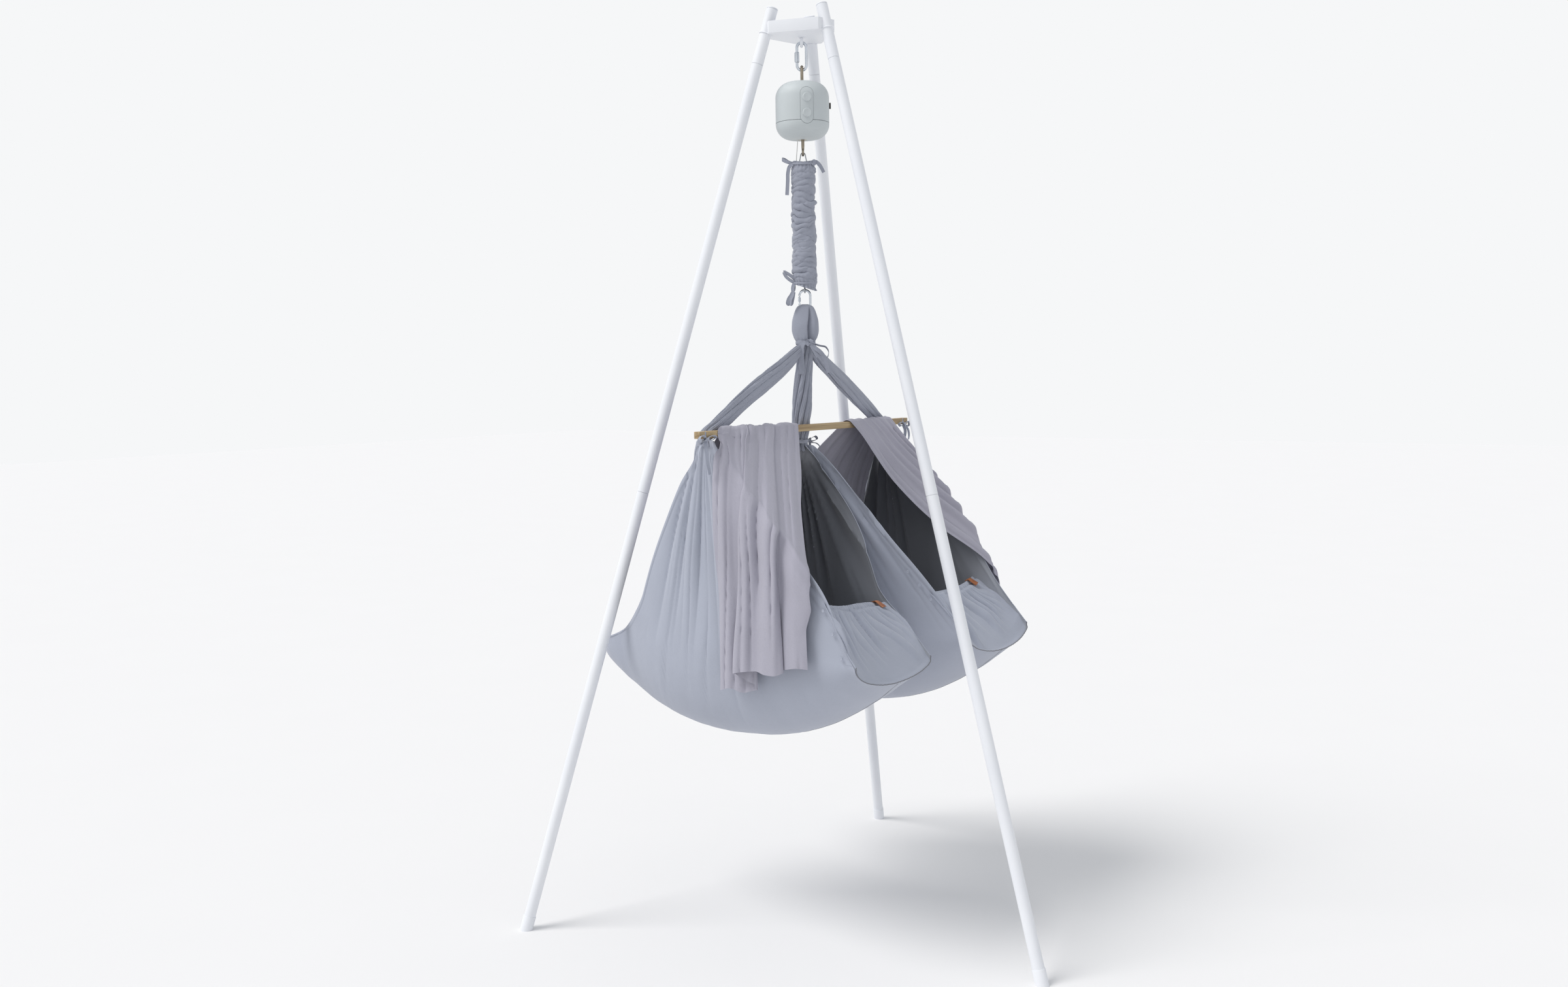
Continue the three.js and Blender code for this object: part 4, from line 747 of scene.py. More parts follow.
# %% The motor's shells and panel
MOTOR_SEAM, TOP_CORNER, BOTTOM_CORNER, DOME, LIP = 1.746, 34 * MM, 32 * MM, 2 * MM, 0.6 * MM
PANEL_TURN, PANEL_WIDTH, PANEL_LOW, PANEL_HIGH = -45, 28 * MM, 1.738, 1.815
PANEL_PROUD, PANEL_DEPTH, GROOVE, GROOVE_DEPTH = 0.8 * MM, 2.4 * MM, 0.7 * MM, 3.4 * MM
SHELL_WALL, TOP_FLAT, ROD_HOLE = 2.5 * MM, 14 * MM, 9 * MM
LOW_ARC = MOTOR_BOTTOM + DOME + BOTTOM_CORNER
HIGH_ARC = MOTOR_TOP - DOME - TOP_CORNER


def shell_arc(corner, height, radius, start, end, count=16):
    """Profile points of a shell's rounded corner, from one angle to another."""
    angles = [math.radians(mix(start, end, i / count)) for i in range(count + 1)]
    return [(MOTOR_RADIUS - corner + radius * math.cos(a), height + radius * math.sin(a))
            for a in angles]


def skin_radius(height):
    """Radius of the motor's outside at a height."""
    for corner, past in ((BOTTOM_CORNER, LOW_ARC - height), (TOP_CORNER, height - HIGH_ARC)):
        if past > 0:
            return MOTOR_RADIUS - corner + math.sqrt(max(0, corner ** 2 - past ** 2))
    return MOTOR_RADIUS


def motor_shells():
    wall = MOTOR_RADIUS - SHELL_WALL
    upper = turned("motor_upper_shell_moulded", [
        (wall, MOTOR_SEAM + LIP), (MOTOR_RADIUS - LIP, MOTOR_SEAM + LIP / 2),
        (MOTOR_RADIUS, MOTOR_SEAM + LIP * 1.5), *shell_arc(TOP_CORNER, HIGH_ARC, TOP_CORNER, 0, 90),
        (TOP_FLAT, MOTOR_TOP), (0, MOTOR_TOP), (0, MOTOR_TOP - SHELL_WALL),
        *shell_arc(TOP_CORNER, HIGH_ARC, TOP_CORNER - SHELL_WALL, 90, 0),
    ], 128, closed=True, place=AT_PLUMB)
    lower = turned("motor_lower_shell_moulded", [
        (ROD_HOLE, MOTOR_BOTTOM + 4 * MM), (ROD_HOLE + 0.5 * MM, MOTOR_BOTTOM + DOME * 0.4),
        (ROD_HOLE + 1.5 * MM, MOTOR_BOTTOM + DOME * 0.25),
        *shell_arc(BOTTOM_CORNER, LOW_ARC, BOTTOM_CORNER, -90, 0),
        (MOTOR_RADIUS, MOTOR_SEAM - LIP * 1.5), (MOTOR_RADIUS - LIP, MOTOR_SEAM - LIP / 2),
        (wall, MOTOR_SEAM - LIP),
        *shell_arc(BOTTOM_CORNER, LOW_ARC, BOTTOM_CORNER - SHELL_WALL, 0, -90),
        (ROD_HOLE, MOTOR_BOTTOM + 4.5 * MM),
    ], 128, closed=True, place=AT_PLUMB)
    return upper, lower


def stadium(name, width, low, high, depth):
    """A flat plate with round ends, standing in the XZ plane, with rings of faces in it."""
    clear_selection()
    bpy.ops.mesh.primitive_circle_add(vertices=64, radius=width / 2, fill_type="NGON",
                                      rotation=(math.radians(90), 0, 0))
    piece = settle(fresh(name))
    straight = high - low - width
    with editing(piece):
        for side in (1, -1):
            choose(piece, "verts", lambda v: side * v.co.z > width * 0.01)
            move(0, 0, side * straight / 2)
        choose(piece, "edges", lambda e: abs(e.verts[0].co.z - e.verts[1].co.z) > straight * 0.9)
        bpy.ops.mesh.subdivide(number_cuts=15)
        choose(piece, "faces", lambda face: True)
        for share in (0.06, 0.14, 0.2, 0.2, 0.2):
            bpy.ops.mesh.inset(thickness=width / 2 * share)
        select_whole()
        draw_out(0, depth, 0)
        face_outwards()
        move(0, 0, (high + low) / 2)
    return piece


def wrap_on_motor(piece, front):
    """Lays a flat plate round the motor: its Y becomes depth, its X the way round."""
    for vertex in piece.data.vertices:
        across, depth, height = vertex.co
        turn = PANEL_TURN + math.degrees(across / MOTOR_RADIUS)
        vertex.co = PLUMB + around(turn, skin_radius(height) + front - depth, 0, height)
    with editing(piece):
        face_outwards()
    return piece


def panel():
    piece = stadium("control_panel_moulded", PANEL_WIDTH, PANEL_LOW, PANEL_HIGH, PANEL_DEPTH)
    return shade(bevel(wrap_on_motor(piece, PANEL_PROUD), 0.45 * MM, 3, 50), 40)


def cut_panel_groove(shells):
    cutter = wrap_on_motor(stadium("panel_cutter", PANEL_WIDTH + GROOVE * 2, PANEL_LOW - GROOVE,
                                   PANEL_HIGH + GROOVE, GROOVE_DEPTH), 2 * MM)
    for shell in shells:
        apply_modifier(shell, "BOOLEAN", operation="DIFFERENCE", object=cutter, solver="EXACT")
        shade(shell, 30)
    bpy.data.objects.remove(cutter)


upper_shell, lower_shell = motor_shells()
cut_panel_groove((upper_shell, lower_shell))
dress(upper_shell, SHELL, "motor_unit", "motor_shell", "motor_upper_shell")
dress(lower_shell, SHELL, "motor_unit", "motor_shell", "motor_lower_shell")
dress(panel(), SHELL, "motor_unit", "motor_shell", "control_panel")
print("motor shells:", len(upper_shell.data.vertices), len(lower_shell.data.vertices), "vertices")

# %% [markdown]
# Two round buttons stand on the panel. Each is turned with a rounded rim and a face that is dished
# by a fraction of a millimetre, then laid on its side. A dark tab, a recess round the rod and small
# collars round the hanger finish the unit.

# %% Buttons, side tab and collars
BUTTON_RADIUS, BUTTON_PROUD, BUTTON_DEPTH = 9.8 * MM, 3.6 * MM, 9 * MM
BUTTON_HEIGHTS = {"lower_button": 1.760, "upper_button": 1.793}
TAB_TURN, TAB_HEIGHT, TAB_PROUD, TAB_THICKNESS = 35, 13 * MM, 4 * MM, 3 * MM
COLLAR_RISE, RECESS_IN, RECESS_OUT, RECESS_RISE = 2 * MM, 5 * MM, 8.9 * MM, 4.2 * MM


def button(name, height):
    front = MOTOR_RADIUS + PANEL_PROUD + BUTTON_PROUD
    back = front - BUTTON_DEPTH
    lay = Matrix.Rotation(math.radians(90), 4, "Y")
    turn = Matrix.Rotation(math.radians(PANEL_TURN), 4, "Z")
    return turned(f"{name}_cap", [
        (0, back), (BUTTON_RADIUS, back), (BUTTON_RADIUS, front - 1.3 * MM),
        (BUTTON_RADIUS - 0.35 * MM, front - 0.5 * MM), (BUTTON_RADIUS - 1.1 * MM, front),
        (BUTTON_RADIUS - 2 * MM, front), (BUTTON_RADIUS * 0.5, front - 0.5 * MM),
        (0, front - 0.7 * MM),
    ], place=Matrix.Translation(hung(0, 0, height)) @ turn @ lay)


def side_tab():
    """A block with a shallow dish in its outer face."""
    out = MOTOR_RADIUS + TAB_PROUD / 2 - MM
    middle = (PANEL_HIGH + PANEL_LOW + TAB_HEIGHT) / 2
    clear_selection()
    bpy.ops.mesh.primitive_cube_add(
        size=1, location=PLUMB + around(TAB_TURN, out, 0, middle),
        rotation=(0, 0, math.radians(TAB_TURN)),
        scale=(TAB_PROUD + 2 * MM, TAB_THICKNESS, TAB_HEIGHT))
    piece = settle(fresh("side_tab_moulded"))
    with editing(piece):
        outward = around(TAB_TURN, 1)
        choose(piece, "faces", lambda face: face.normal.dot(outward) > 0.9)
        bpy.ops.mesh.inset(thickness=0.8 * MM)
        move(*(-outward * 0.6 * MM))
    return shade(bevel(piece, 0.4 * MM, 2, 40))


def collar(name, place, radius, height, rise):
    return turned(name, [
        (radius, height), (radius + 1.4 * MM, height), (radius + 1.2 * MM, height + rise * 0.7),
        (radius + 0.6 * MM, height + rise), (radius, height + rise),
    ], 40, closed=True, place=Matrix.Translation(place))


for name, height in BUTTON_HEIGHTS.items():
    dress(button(name, height), SHELL, name, "motor_shell", name)
dress(side_tab(), DARK, "motor_unit", "dark_plastic", "side_tab")
for side, label in ((-1, "back"), (1, "front")):
    made = collar(f"hanger_collar_{label}", in_link_plane(0, 0, side * HANGER_BEND), HANGER_WIRE,
                  MOTOR_TOP - MM, COLLAR_RISE)
    dress(made, SHELL, "motor_unit", "motor_shell")
recess = turned("rod_recess_moulded", [
    (RECESS_IN, MOTOR_BOTTOM + RECESS_RISE), (RECESS_IN, MOTOR_BOTTOM + 2 * MM),
    (RECESS_OUT, MOTOR_BOTTOM + MM), (RECESS_OUT, MOTOR_BOTTOM + RECESS_RISE),
], 48, closed=True, place=AT_PLUMB)
dress(recess, RECESS, "motor_unit", "motor_shell")
print("buttons at", BUTTON_HEIGHTS)

# %% [markdown]
# Below the motor: the bronzed lift rod with its eye, the spring's wire shackle, and after the
# spring a hook and a carabiner. The carabiner is an oval of round wire with a turned gate barrel on
# one side. A thin cord runs from inside the motor to the spring.

# %% Rod, shackle, hook and carabiner
ROD_RADIUS, ROD_EYE, ROD_EYE_RING, ROD_EYE_WIRE = 3.5 * MM, 1.684, 6 * MM, 2.6 * MM
ROD_TOP, ROD_SHOULDER = 1.735, 14 * MM
SPRING_TOP, SPRING_BOTTOM, SPRING_RADIUS = 1.640, 1.412, 17 * MM
SHACKLE_WIRE, SHACKLE_IN, HOOK_WIRE = 1.3 * MM, 4 * MM, 1.8 * MM
PLUG_RADIUS, PLUG_RISE, COVER_TOP = 11 * MM, 8 * MM, 1.665
SNAP_TOP, SNAP_BOTTOM, SNAP_WIRE, SNAP_HALF = 1.385, 1.344, 2.75 * MM, 12 * MM
GATE_RADIUS, GATE_GAP = 3.3 * MM, 0.8 * MM
CORD_RADIUS, CORD_OUT, CORD_ACROSS, CORD_SPREAD = 0.9 * MM, 11.4 * MM, 6 * MM, 3 * MM


def lift_rod():
    top = ROD_EYE + ROD_EYE_RING
    shank = turned("lift_rod_bronzed", [
        (0, top - MM), (ROD_RADIUS * 0.86, top - MM), (ROD_RADIUS * 0.9, top + 3 * MM),
        (ROD_RADIUS, ROD_EYE + ROD_SHOULDER), (ROD_RADIUS, ROD_TOP), (0, ROD_TOP),
    ], 40, place=AT_PLUMB)
    loop = ring("rod_eye", in_link_plane(0, ROD_EYE), ROD_EYE_RING, ROD_EYE_WIRE, IN_LINK)
    return joined(shank, loop)


def shackle():
    spread, low = SPRING_RADIUS - HOOK_WIRE * 2, SPRING_TOP - SHACKLE_IN
    seat = ROD_EYE - ROD_EYE_RING
    bend = ROD_EYE_WIRE + HOOK_WIRE + SEAM * 2
    half = (mix(bend, spread, 0.5), mix(SPRING_TOP, seat, 0.5))
    route = [in_link_plane(-spread, low), in_link_plane(-half[0], half[1]),
             *arc(seat, bend, math.pi, 0, in_link_plane, 10),
             in_link_plane(*half), in_link_plane(spread, low)]
    return wire("spring_shackle_wire", curve_through(route, 60), SHACKLE_WIRE)


def spring_hook():
    ring_radius = SNAP_WIRE + HOOK_WIRE + SEAM * 3
    height = SNAP_TOP - SNAP_WIRE - SEAM - HOOK_WIRE + ring_radius
    loop = ring("spring_hook_ring", in_link_plane(0, height), ring_radius, HOOK_WIRE, IN_LINK)
    neck, plug_top = HOOK_WIRE * 1.3, SPRING_BOTTOM + PLUG_RISE
    stem = turned("stem", [
        (0, height + ring_radius - HOOK_WIRE / 2), (neck, height + ring_radius),
        (neck, SPRING_BOTTOM), (PLUG_RADIUS, SPRING_BOTTOM), (PLUG_RADIUS, plug_top), (0, plug_top),
    ], 32, place=AT_PLUMB)
    return joined(loop, stem)


def gate():
    """A barrel with four grooves, and thin ends that clear the carabiner as it opens."""
    low, high = SNAP_BOTTOM + SNAP_HALF + GATE_GAP, SNAP_TOP - SNAP_HALF - GATE_GAP
    grooves = []
    for share in (0.3, 0.42, 0.54, 0.66):
        height = mix(low, high, share)
        grooves += [(GATE_RADIUS, height - 0.5 * MM), (GATE_RADIUS - 0.35 * MM, height),
                    (GATE_RADIUS, height + 0.5 * MM)]
    thin = GATE_RADIUS * 0.62
    return turned("carabiner_gate_barrel", [
        (0, low), (MM, low), (thin * 0.8, low + 1.6 * MM), (thin, low + 2.4 * MM),
        (thin, low + 3.4 * MM), (GATE_RADIUS, low + 3.8 * MM), *grooves,
        (GATE_RADIUS, high - 3 * MM), (thin, high - 2.6 * MM), (thin, high - 0.5 * MM),
        (thin * 0.8, high), (0, high),
    ], 32, place=Matrix.Translation(in_link_plane(-SNAP_HALF, 0)))


def safety_cord():
    low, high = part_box("safety_cord")[0][2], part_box("safety_cord")[1][2]
    half_way = mix(MOTOR_BOTTOM, COVER_TOP, 0.5)
    plan = [(0, high), (0, MOTOR_BOTTOM), (CORD_SPREAD / 2, half_way), (CORD_SPREAD, COVER_TOP),
            (0, low)]
    route = [in_link_plane(-CORD_OUT - out, height, CORD_ACROSS) for out, height in plan]
    piece = wire("safety_cord_strand", curve_through(route, 60), CORD_RADIUS, sides=2)
    piece.data.materials.append(CORD)
    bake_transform(piece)
    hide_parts("safety_cord")


dress(lift_rod(), BRONZE, "lift", "bronzed_rod", "lift_rod")
safety_cord()
dress(shackle(), SPRING_STEEL, "lift", "spring_steel", "spring_shackle")
dress(spring_hook(), SPRING_STEEL, "carabiner", "spring_steel", "spring_hook")
snap_route = oval(SNAP_TOP, SNAP_BOTTOM, SNAP_HALF)
dress(wire("carabiner_wire", snap_route, SNAP_WIRE, sides=6), BRIGHT, "carabiner", "bright_steel",
      "carabiner")
dress(gate(), BRIGHT, "carabiner_gate", "bright_steel", "carabiner_gate")
print("carabiner from", SNAP_TOP, "to", SNAP_BOTTOM)

# %% [markdown]
# The solids that stay out of sight inside the motor and the cover keep their own meshes. They only
# need the finish of what they are.

# %% Finishes for the hidden solids
HIDDEN = {
    "control_board": BOARD, "motor_chassis": SPRING_STEEL, "gear_motor": DARK, "lift_drum": BRIGHT,
    "lifting_strap": CORD, "spring": SPRING_STEEL,
}
for name, material in HIDDEN.items():
    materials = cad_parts[name].data.materials
    materials.clear()
    materials.append(material)
print("hidden solids:", sorted(HIDDEN))

# %% [markdown]
# Cloth is planned as a grid of points: rows one way, columns the other. The grid is first laid on
# the shape that the cloth hangs in, and folds are then pushed out of it along its normals. Its
# threads' map is in metres, so the weave keeps its scale. A thickness comes last.
#
# Two functions draw all folds. A ridge is a row of rounded folds with sharp valleys: its line
# counts folds, and the smaller its power, the sharper the valleys. A wobble is smooth noise: the
# factors in it set how fast it changes, the one before it how much, and its last value is a seed.

# %% Helpers for cloth
CLOTH, TAPE_THICKNESS, BUNCH_VALLEY = 1.2 * MM, 0.9 * MM, 0.3


def table_value(table, share):
    """A smooth value from pairs of (share, value), which never overshoots them."""
    if share <= table[0][0]:
        return table[0][1]
    if share >= table[-1][0]:
        return table[-1][1]
    k = next(i for i in range(len(table) - 1) if share <= table[i + 1][0])
    rises = [(b[1] - a[1]) / (b[0] - a[0]) for a, b in zip(table, table[1:])]

    def slope(i):
        before, after = rises[max(i - 1, 0)], rises[min(i, len(rises) - 1)]
        return 0 if before * after <= 0 else 2 * before * after / (before + after)

    (x0, y0), (x1, y1) = table[k], table[k + 1]
    width = x1 - x0
    t = (share - x0) / width
    return (y0 * (1 + 2 * t) * (1 - t) ** 2 + y1 * t * t * (3 - 2 * t)
            + width * (slope(k) * t * (1 - t) ** 2 - slope(k + 1) * t * t * (1 - t)))


def wobble(x, y=0.0, seed=0.0):
    return noise.noise(Vector((x, y, seed * 7.31 + 0.5)))


def ridge(line, power=1.0):
    return abs(math.sin(math.pi * line)) ** power


def grid_normals(rows):
    """The normal at each point of a grid, from its neighbours in the row and in the column."""
    last, end = len(rows) - 1, len(rows[0]) - 1
    normals = []
    for i, row in enumerate(rows):
        above, below = rows[max(i - 1, 0)], rows[min(i + 1, last)]
        normals.append([(row[min(j + 1, end)] - row[max(j - 1, 0)]).cross(below[j] - above[j])
                        .normalized() for j in range(end + 1)])
    return normals


def pushed(rows, amount):
    """The grid with each point moved along its normal by amount(i, j)."""
    normals = grid_normals(rows)
    return [[point + normals[i][j] * amount(i, j) for j, point in enumerate(row)]
            for i, row in enumerate(rows)]


def thread_lengths(rows, closed):
    """Distances along the rows and along the columns, added up from the first point."""
    across = [0.0]
    for j in range(1, len(rows[0]) + (1 if closed else 0)):
        at = j % len(rows[0])
        across.append(across[-1] + max((row[at] - row[j - 1]).length for row in rows[::4]))
    along = [0.0]
    for before, after in zip(rows, rows[1:]):
        steps = [(b - a).length for a, b in zip(before[::4], after[::4])]
        along.append(along[-1] + sum(steps) / len(steps))
    return across, along


def cloth(name, rows, thickness=CLOTH, closed=False, degrees=70, shaded_inside=None):
    """A sheet of quads through rows of points, with a map in metres and a thickness.

    A shaded inside is a second material, darker with painted shade, for the side that the faces
    turn away from."""
    wide = len(rows[0])
    across, along = thread_lengths(rows, closed)
    faces, spots = [], []
    for i in range(len(rows) - 1):
        for j in range(wide if closed else wide - 1):
            k = (j + 1) % wide
            faces.append((i * wide + j, i * wide + k, (i + 1) * wide + k, (i + 1) * wide + j))
            spots += [(across[j], along[i]), (across[j + 1], along[i]),
                      (across[j + 1], along[i + 1]), (across[j], along[i + 1])]
    mesh = bpy.data.meshes.new(name)
    mesh.from_pydata([tuple(point) for row in rows for point in row], [], faces)
    layer = mesh.uv_layers.new(name="threads")
    for spot, place in zip(layer.data, spots):
        spot.uv = place
    piece = bpy.data.objects.new(name, mesh)
    bpy.context.collection.objects.link(piece)
    for material in (shaded_inside, shaded_inside) if shaded_inside else ():
        mesh.materials.append(material)
    if thickness:
        apply_modifier(piece, "SOLIDIFY", thickness=thickness, offset=0,
                       material_offset=1 if shaded_inside else 0)
    return shade(piece, degrees)


def ahead_at(line, i):
    """The direction of a line of points at one of them."""
    return (line[min(i + 1, len(line) - 1)] - line[max(i - 1, 0)]).normalized()


def square_to(ahead, way):
    """The part of a direction that is square to another, at length one."""
    return (way - ahead * way.dot(ahead)).normalized()


def ribbon(name, route, width, across, twist=0.0, count=48):
    """A tape along a route. Its width points across, and turns by twist degrees on the way."""
    centre = curve_through(route, count)
    rows = []
    for i, point in enumerate(centre):
        ahead = ahead_at(centre, i)
        turn = Matrix.Rotation(math.radians(twist * i / (count - 1)), 3, ahead)
        side = turn @ square_to(ahead, across)
        cup = ahead.cross(side) * width * 0.06
        rows.append([point + side * width / 2 * k + cup * (k * k) for k in (-1, -0.6, 0, 0.6, 1)])
    return cloth(name, rows, TAPE_THICKNESS)


def tube_cloth(name, count, wide, place, thickness=0):
    """A closed sleeve of cloth, its points given by place(share down, turn round)."""
    rows = [[place(i / (count - 1), math.tau * j / wide) for j in range(wide)]
            for i in range(count)]
    return cloth(name, rows, thickness, closed=True, degrees=60)


def bunch(name, route, width, depth, ridges, twist, seed, steps=110):
    """Gathered cloth drawn into a rope: a closed tube with lengthwise ridges and sharp valleys."""
    centre, wide = curve_through(route, steps), ridges * 16
    rows = []
    for i, point in enumerate(centre):
        share = i / (steps - 1)
        ahead = ahead_at(centre, i)
        deep_way = square_to(ahead, Vector((1, 0, 0)))
        wide_way = ahead.cross(deep_way)
        row = []
        for j in range(wide):
            turn = math.tau * j / wide
            c, s = math.cos(turn), math.sin(turn)
            folded = ridges / 2 * (turn + math.radians(twist) * share) \
                + 0.9 * wobble(c * 1.6 + share * 1.5, s * 1.6, seed)
            fine = folded * 3 + 2.4 * wobble(c * 2 + share * 5, s * 2, seed + 2)
            slack = 1 + 0.05 * wobble(share * 9, turn * 1.5, seed + 1)
            size = (1 - BUNCH_VALLEY * (1 - abs(math.sin(folded)) ** 0.62)
                    - 0.1 * (1 - abs(math.sin(fine)) ** 0.6)) * slack
            row.append(point + wide_way * (c * table_value(width, share) * size)
                       + deep_way * (s * table_value(depth, share) * size))
        rows.append(row)
    return cloth(name, rows, 0, closed=True, degrees=60)


print("cloth helpers ready")

# %% [markdown]
# Each cradle is one hammock of cloth. A station is its section at a share of the half length, from
# -1 at the head to 1 at the foot: the keel's height, the heights of both rims and the half width.
# Both rims climb to where the cloth is gathered, outside at the bar's end and inside at the middle.

# %% The plan of a cradle
SIDES = {"near": -1, "far": 1}
EDGES = {"outer": 1, "inner": -1}
CRADLE_HALF, CRADLE_OUT, CRADLE_HALF_WIDTH = 0.391, 0.207, 0.155
CRADLE_MID = {"near": -0.028, "far": -0.014}
KEEL_LOW, KEEL_RISE, KEEL_POWER, GATHER_TOP = 0.438, 0.150, 2.3, 1.069
GUNWALE, GUNWALE_LIP, END_BOW, END_BOW_FROM = 0.642, 8 * MM, 14 * MM, 0.6
GATHER_OUT, INNER_SPREAD = 0.342, 2.5 * MM
WIDTH_SHARES = [(-1, 0.07), (-0.95, 0.24), (-0.87, 0.46), (-0.78, 0.54), (-0.69, 0.6), (-0.6, 0.7),
                (-0.5, 0.8), (-0.3, 0.93), (0, 1), (0.4, 1), (0.8, 0.97), (1, 0.92)]
HEAD_RIM = [(-1, 0.262), (-0.95, 0.275), (-0.8, 0.3), (-0.69, 0.328), (-0.57, 0.379),
            (-0.445, 0.464)]
INNER_HEAD = [*HEAD_RIM, (-0.396, 0.515), (-0.32, 0.6), (-0.22, 0.72), (-0.128, 0.83),
              (-0.07, 0.959), (0.06, 0.959), (0.107, 0.94)]
RIM_SHARES = {
    ("near", "outer"): [*HEAD_RIM, (-0.396, 0.523), (-0.32, 0.624), (-0.22, 0.748), (-0.128, 0.859),
                        (-0.04, 0.94), (-0.018, 1), (0.094, 1), (0.118, 0.98), (0.225, 0.907),
                        (0.737, 0.58), (0.8, 0.529), (0.87, 0.447), (0.93, 0.37), (1, 0.32)],
    ("near", "inner"): [*INNER_HEAD, (0.225, 0.86), (0.496, 0.645), (0.62, 0.479), (0.84, 0.374),
                        (1, 0.282)],
    ("far", "inner"): [*INNER_HEAD, (0.225, 0.87), (0.504, 0.661), (0.788, 0.474), (0.928, 0.371),
                       (1, 0.33)],
    ("far", "outer"): [*HEAD_RIM, (-0.348, 0.542), (-0.22, 0.653), (-0.143, 0.751), (-0.105, 0.859),
                       (-0.07, 0.946), (-0.054, 1), (0.046, 1), (0.08, 0.983), (0.225, 0.89),
                       (0.588, 0.62), (0.767, 0.45), (0.926, 0.345), (1, 0.3)],
}


def height_of(share):
    return mix(KEEL_LOW, GATHER_TOP, share)


@lru_cache(maxsize=None)
def station(which, t):
    """The keel's height, the rims' heights, where the walls begin, and half the width, at t."""
    keel = KEEL_LOW + KEEL_RISE * abs(t) ** KEEL_POWER
    rim = {edge: height_of(table_value(RIM_SHARES[which, edge], t)) for edge in EDGES}
    low = {edge: min(GUNWALE, rim[edge] - GUNWALE_LIP) for edge in EDGES}
    return keel, rim, low, CRADLE_HALF_WIDTH * table_value(WIDTH_SHARES, t)


def reach_of_side(which, t, edge, height):
    """How far the outer face stands from the cradle's own middle plane, at one height."""
    keel, _, low, half = station(which, t)
    if height > low[edge]:
        gather = GATHER_OUT - CRADLE_OUT if edge == "outer" else CRADLE_OUT - INNER_SPREAD
        return mix(half, gather, (height - low[edge]) / (GATHER_TOP - low[edge]))
    share = min(1, max(0, (height - keel) / (low[edge] - keel)))
    return half * math.sin(math.acos(1 - share))


def cradle_point(which, t, out, height):
    """A point of a cradle: t along it, and so far out from its own middle plane."""
    end = max(0, (abs(t) - END_BOW_FROM) / (1 - END_BOW_FROM))
    bow = END_BOW * end ** 2 * (out / CRADLE_HALF_WIDTH) ** 2
    return hung(CRADLE_MID[which] + CRADLE_HALF * t - math.copysign(bow, t),
                SIDES[which] * (CRADLE_OUT + out), height)


def bottom_height(which, t, edge, angle):
    """The height of the rounded bottom, at an angle from the keel out to the wall."""
    keel, _, low, _ = station(which, t)
    return mix(keel, low[edge], 1 - math.cos(angle))


def spread_of_stations():
    """Shares along the cradle, closest together where the cloth is gathered."""
    shares, out = [0.0], 0.0
    while out < CRADLE_HALF:
        out += MM + 0.0125 * out
        shares.append(min(1, out / CRADLE_HALF))
    return [-share for share in reversed(shares[1:])] + shares


STATIONS = spread_of_stations()
print("stations:", len(STATIONS))

# %% [markdown]
# The folds. From each gather they fan out down the wall: broad soft ridges with narrow valleys,
# each with its own depth and length, all gone before the bottom. A fainter ripple runs under the
# keel, and the rim has a hem: a band where the cloth lies double.

# %% The cradle bodies
WALL_STEPS, BOTTOM_STEPS = 40, 12
HEM, HEM_PROUD, HEM_EDGE, LOW_RIM = 12 * MM, 0.9 * MM, 1.5 * MM, 30 * MM
GATHER_PLACE = {("near", "outer"): (0.032, 1.094), ("near", "inner"): (-0.005, 1.066),
                ("far", "inner"): (-0.005, 1.066), ("far", "outer"): (-0.004, 1.094)}
PLEAT_PITCH, PLEAT_DEPTH, CREASE_DEPTH = math.radians(7.4), 10.5 * MM, 3.2 * MM


def fan(which, edge, x, height):
    """Folds that fan out from a gather, as a height in metres over the smooth wall."""
    seed = 3 + 11 * len(which) + 5 * len(edge)
    t, top = GATHER_PLACE[which, edge]
    dx, dz = x - (CRADLE_MID[which] + CRADLE_HALF * t), top - height
    turn, reach = math.atan2(dx, max(dz, 1e-4)), math.hypot(dx, dz)
    phase = turn / PLEAT_PITCH + 1.2 * wobble(turn * 3.4, reach * 1.3, seed)
    own = math.floor(phase)
    depth = max(0.25, 0.8 + 1.3 * wobble(own * 1.7, 0.3, seed + 1))
    end = 0.47 + 0.3 * wobble(own * 2.3, 0.7, seed + 2)
    crease = 1.1 * MM * wobble(turn * 14, reach * 5, seed + 3)
    line = 2.3 * phase + 0.9 * wobble(turn * 8, reach * 3, seed + 4)
    shown = smooth(0.2 + 2.4 * wobble(math.floor(line + 0.5) * 1.3, reach * 4, seed + 5))
    crease -= (1 - ridge(line, 0.4)) * shown * min(CREASE_DEPTH, reach * 0.02)
    fold = ridge(phase, 0.58) * depth * (1 - smooth((reach - end + 0.24) / 0.3)) - 0.68
    return fold * min(PLEAT_DEPTH, 0.8 * MM + reach * 0.05) + crease


def section(which, t):
    """One station as (point, edge, height, hem) from the outer rim under the keel to the inner."""
    keel, rim, low, half = station(which, t)
    walls = []
    for edge, sign in EDGES.items():
        height = rim[edge] - low[edge]
        band = min(HEM, height * 0.4)
        drops = [0, MM * min(1, height / LOW_RIM), band, band + min(HEM_EDGE, height * 0.05)]
        drops += [mix(drops[-1], height, k / (WALL_STEPS - 4)) for k in range(1, WALL_STEPS - 3)]
        line = []
        for k, drop in enumerate(drops):
            z = rim[edge] - drop
            out = sign * reach_of_side(which, t, edge, z)
            line.append((cradle_point(which, t, out, z), edge, z, 1.0 if k in (1, 2) else 0.0))
        for k in range(1, BOTTOM_STEPS):
            angle = math.pi / 2 * (1 - k / BOTTOM_STEPS)
            z = bottom_height(which, t, edge, angle)
            out = sign * half * math.sin(angle)
            line.append((cradle_point(which, t, out, z), edge, z, 0.0))
        walls.append(line)
    return [*walls[0], (cradle_point(which, t, 0, keel), "outer", keel, 0.0), *walls[1][::-1]]


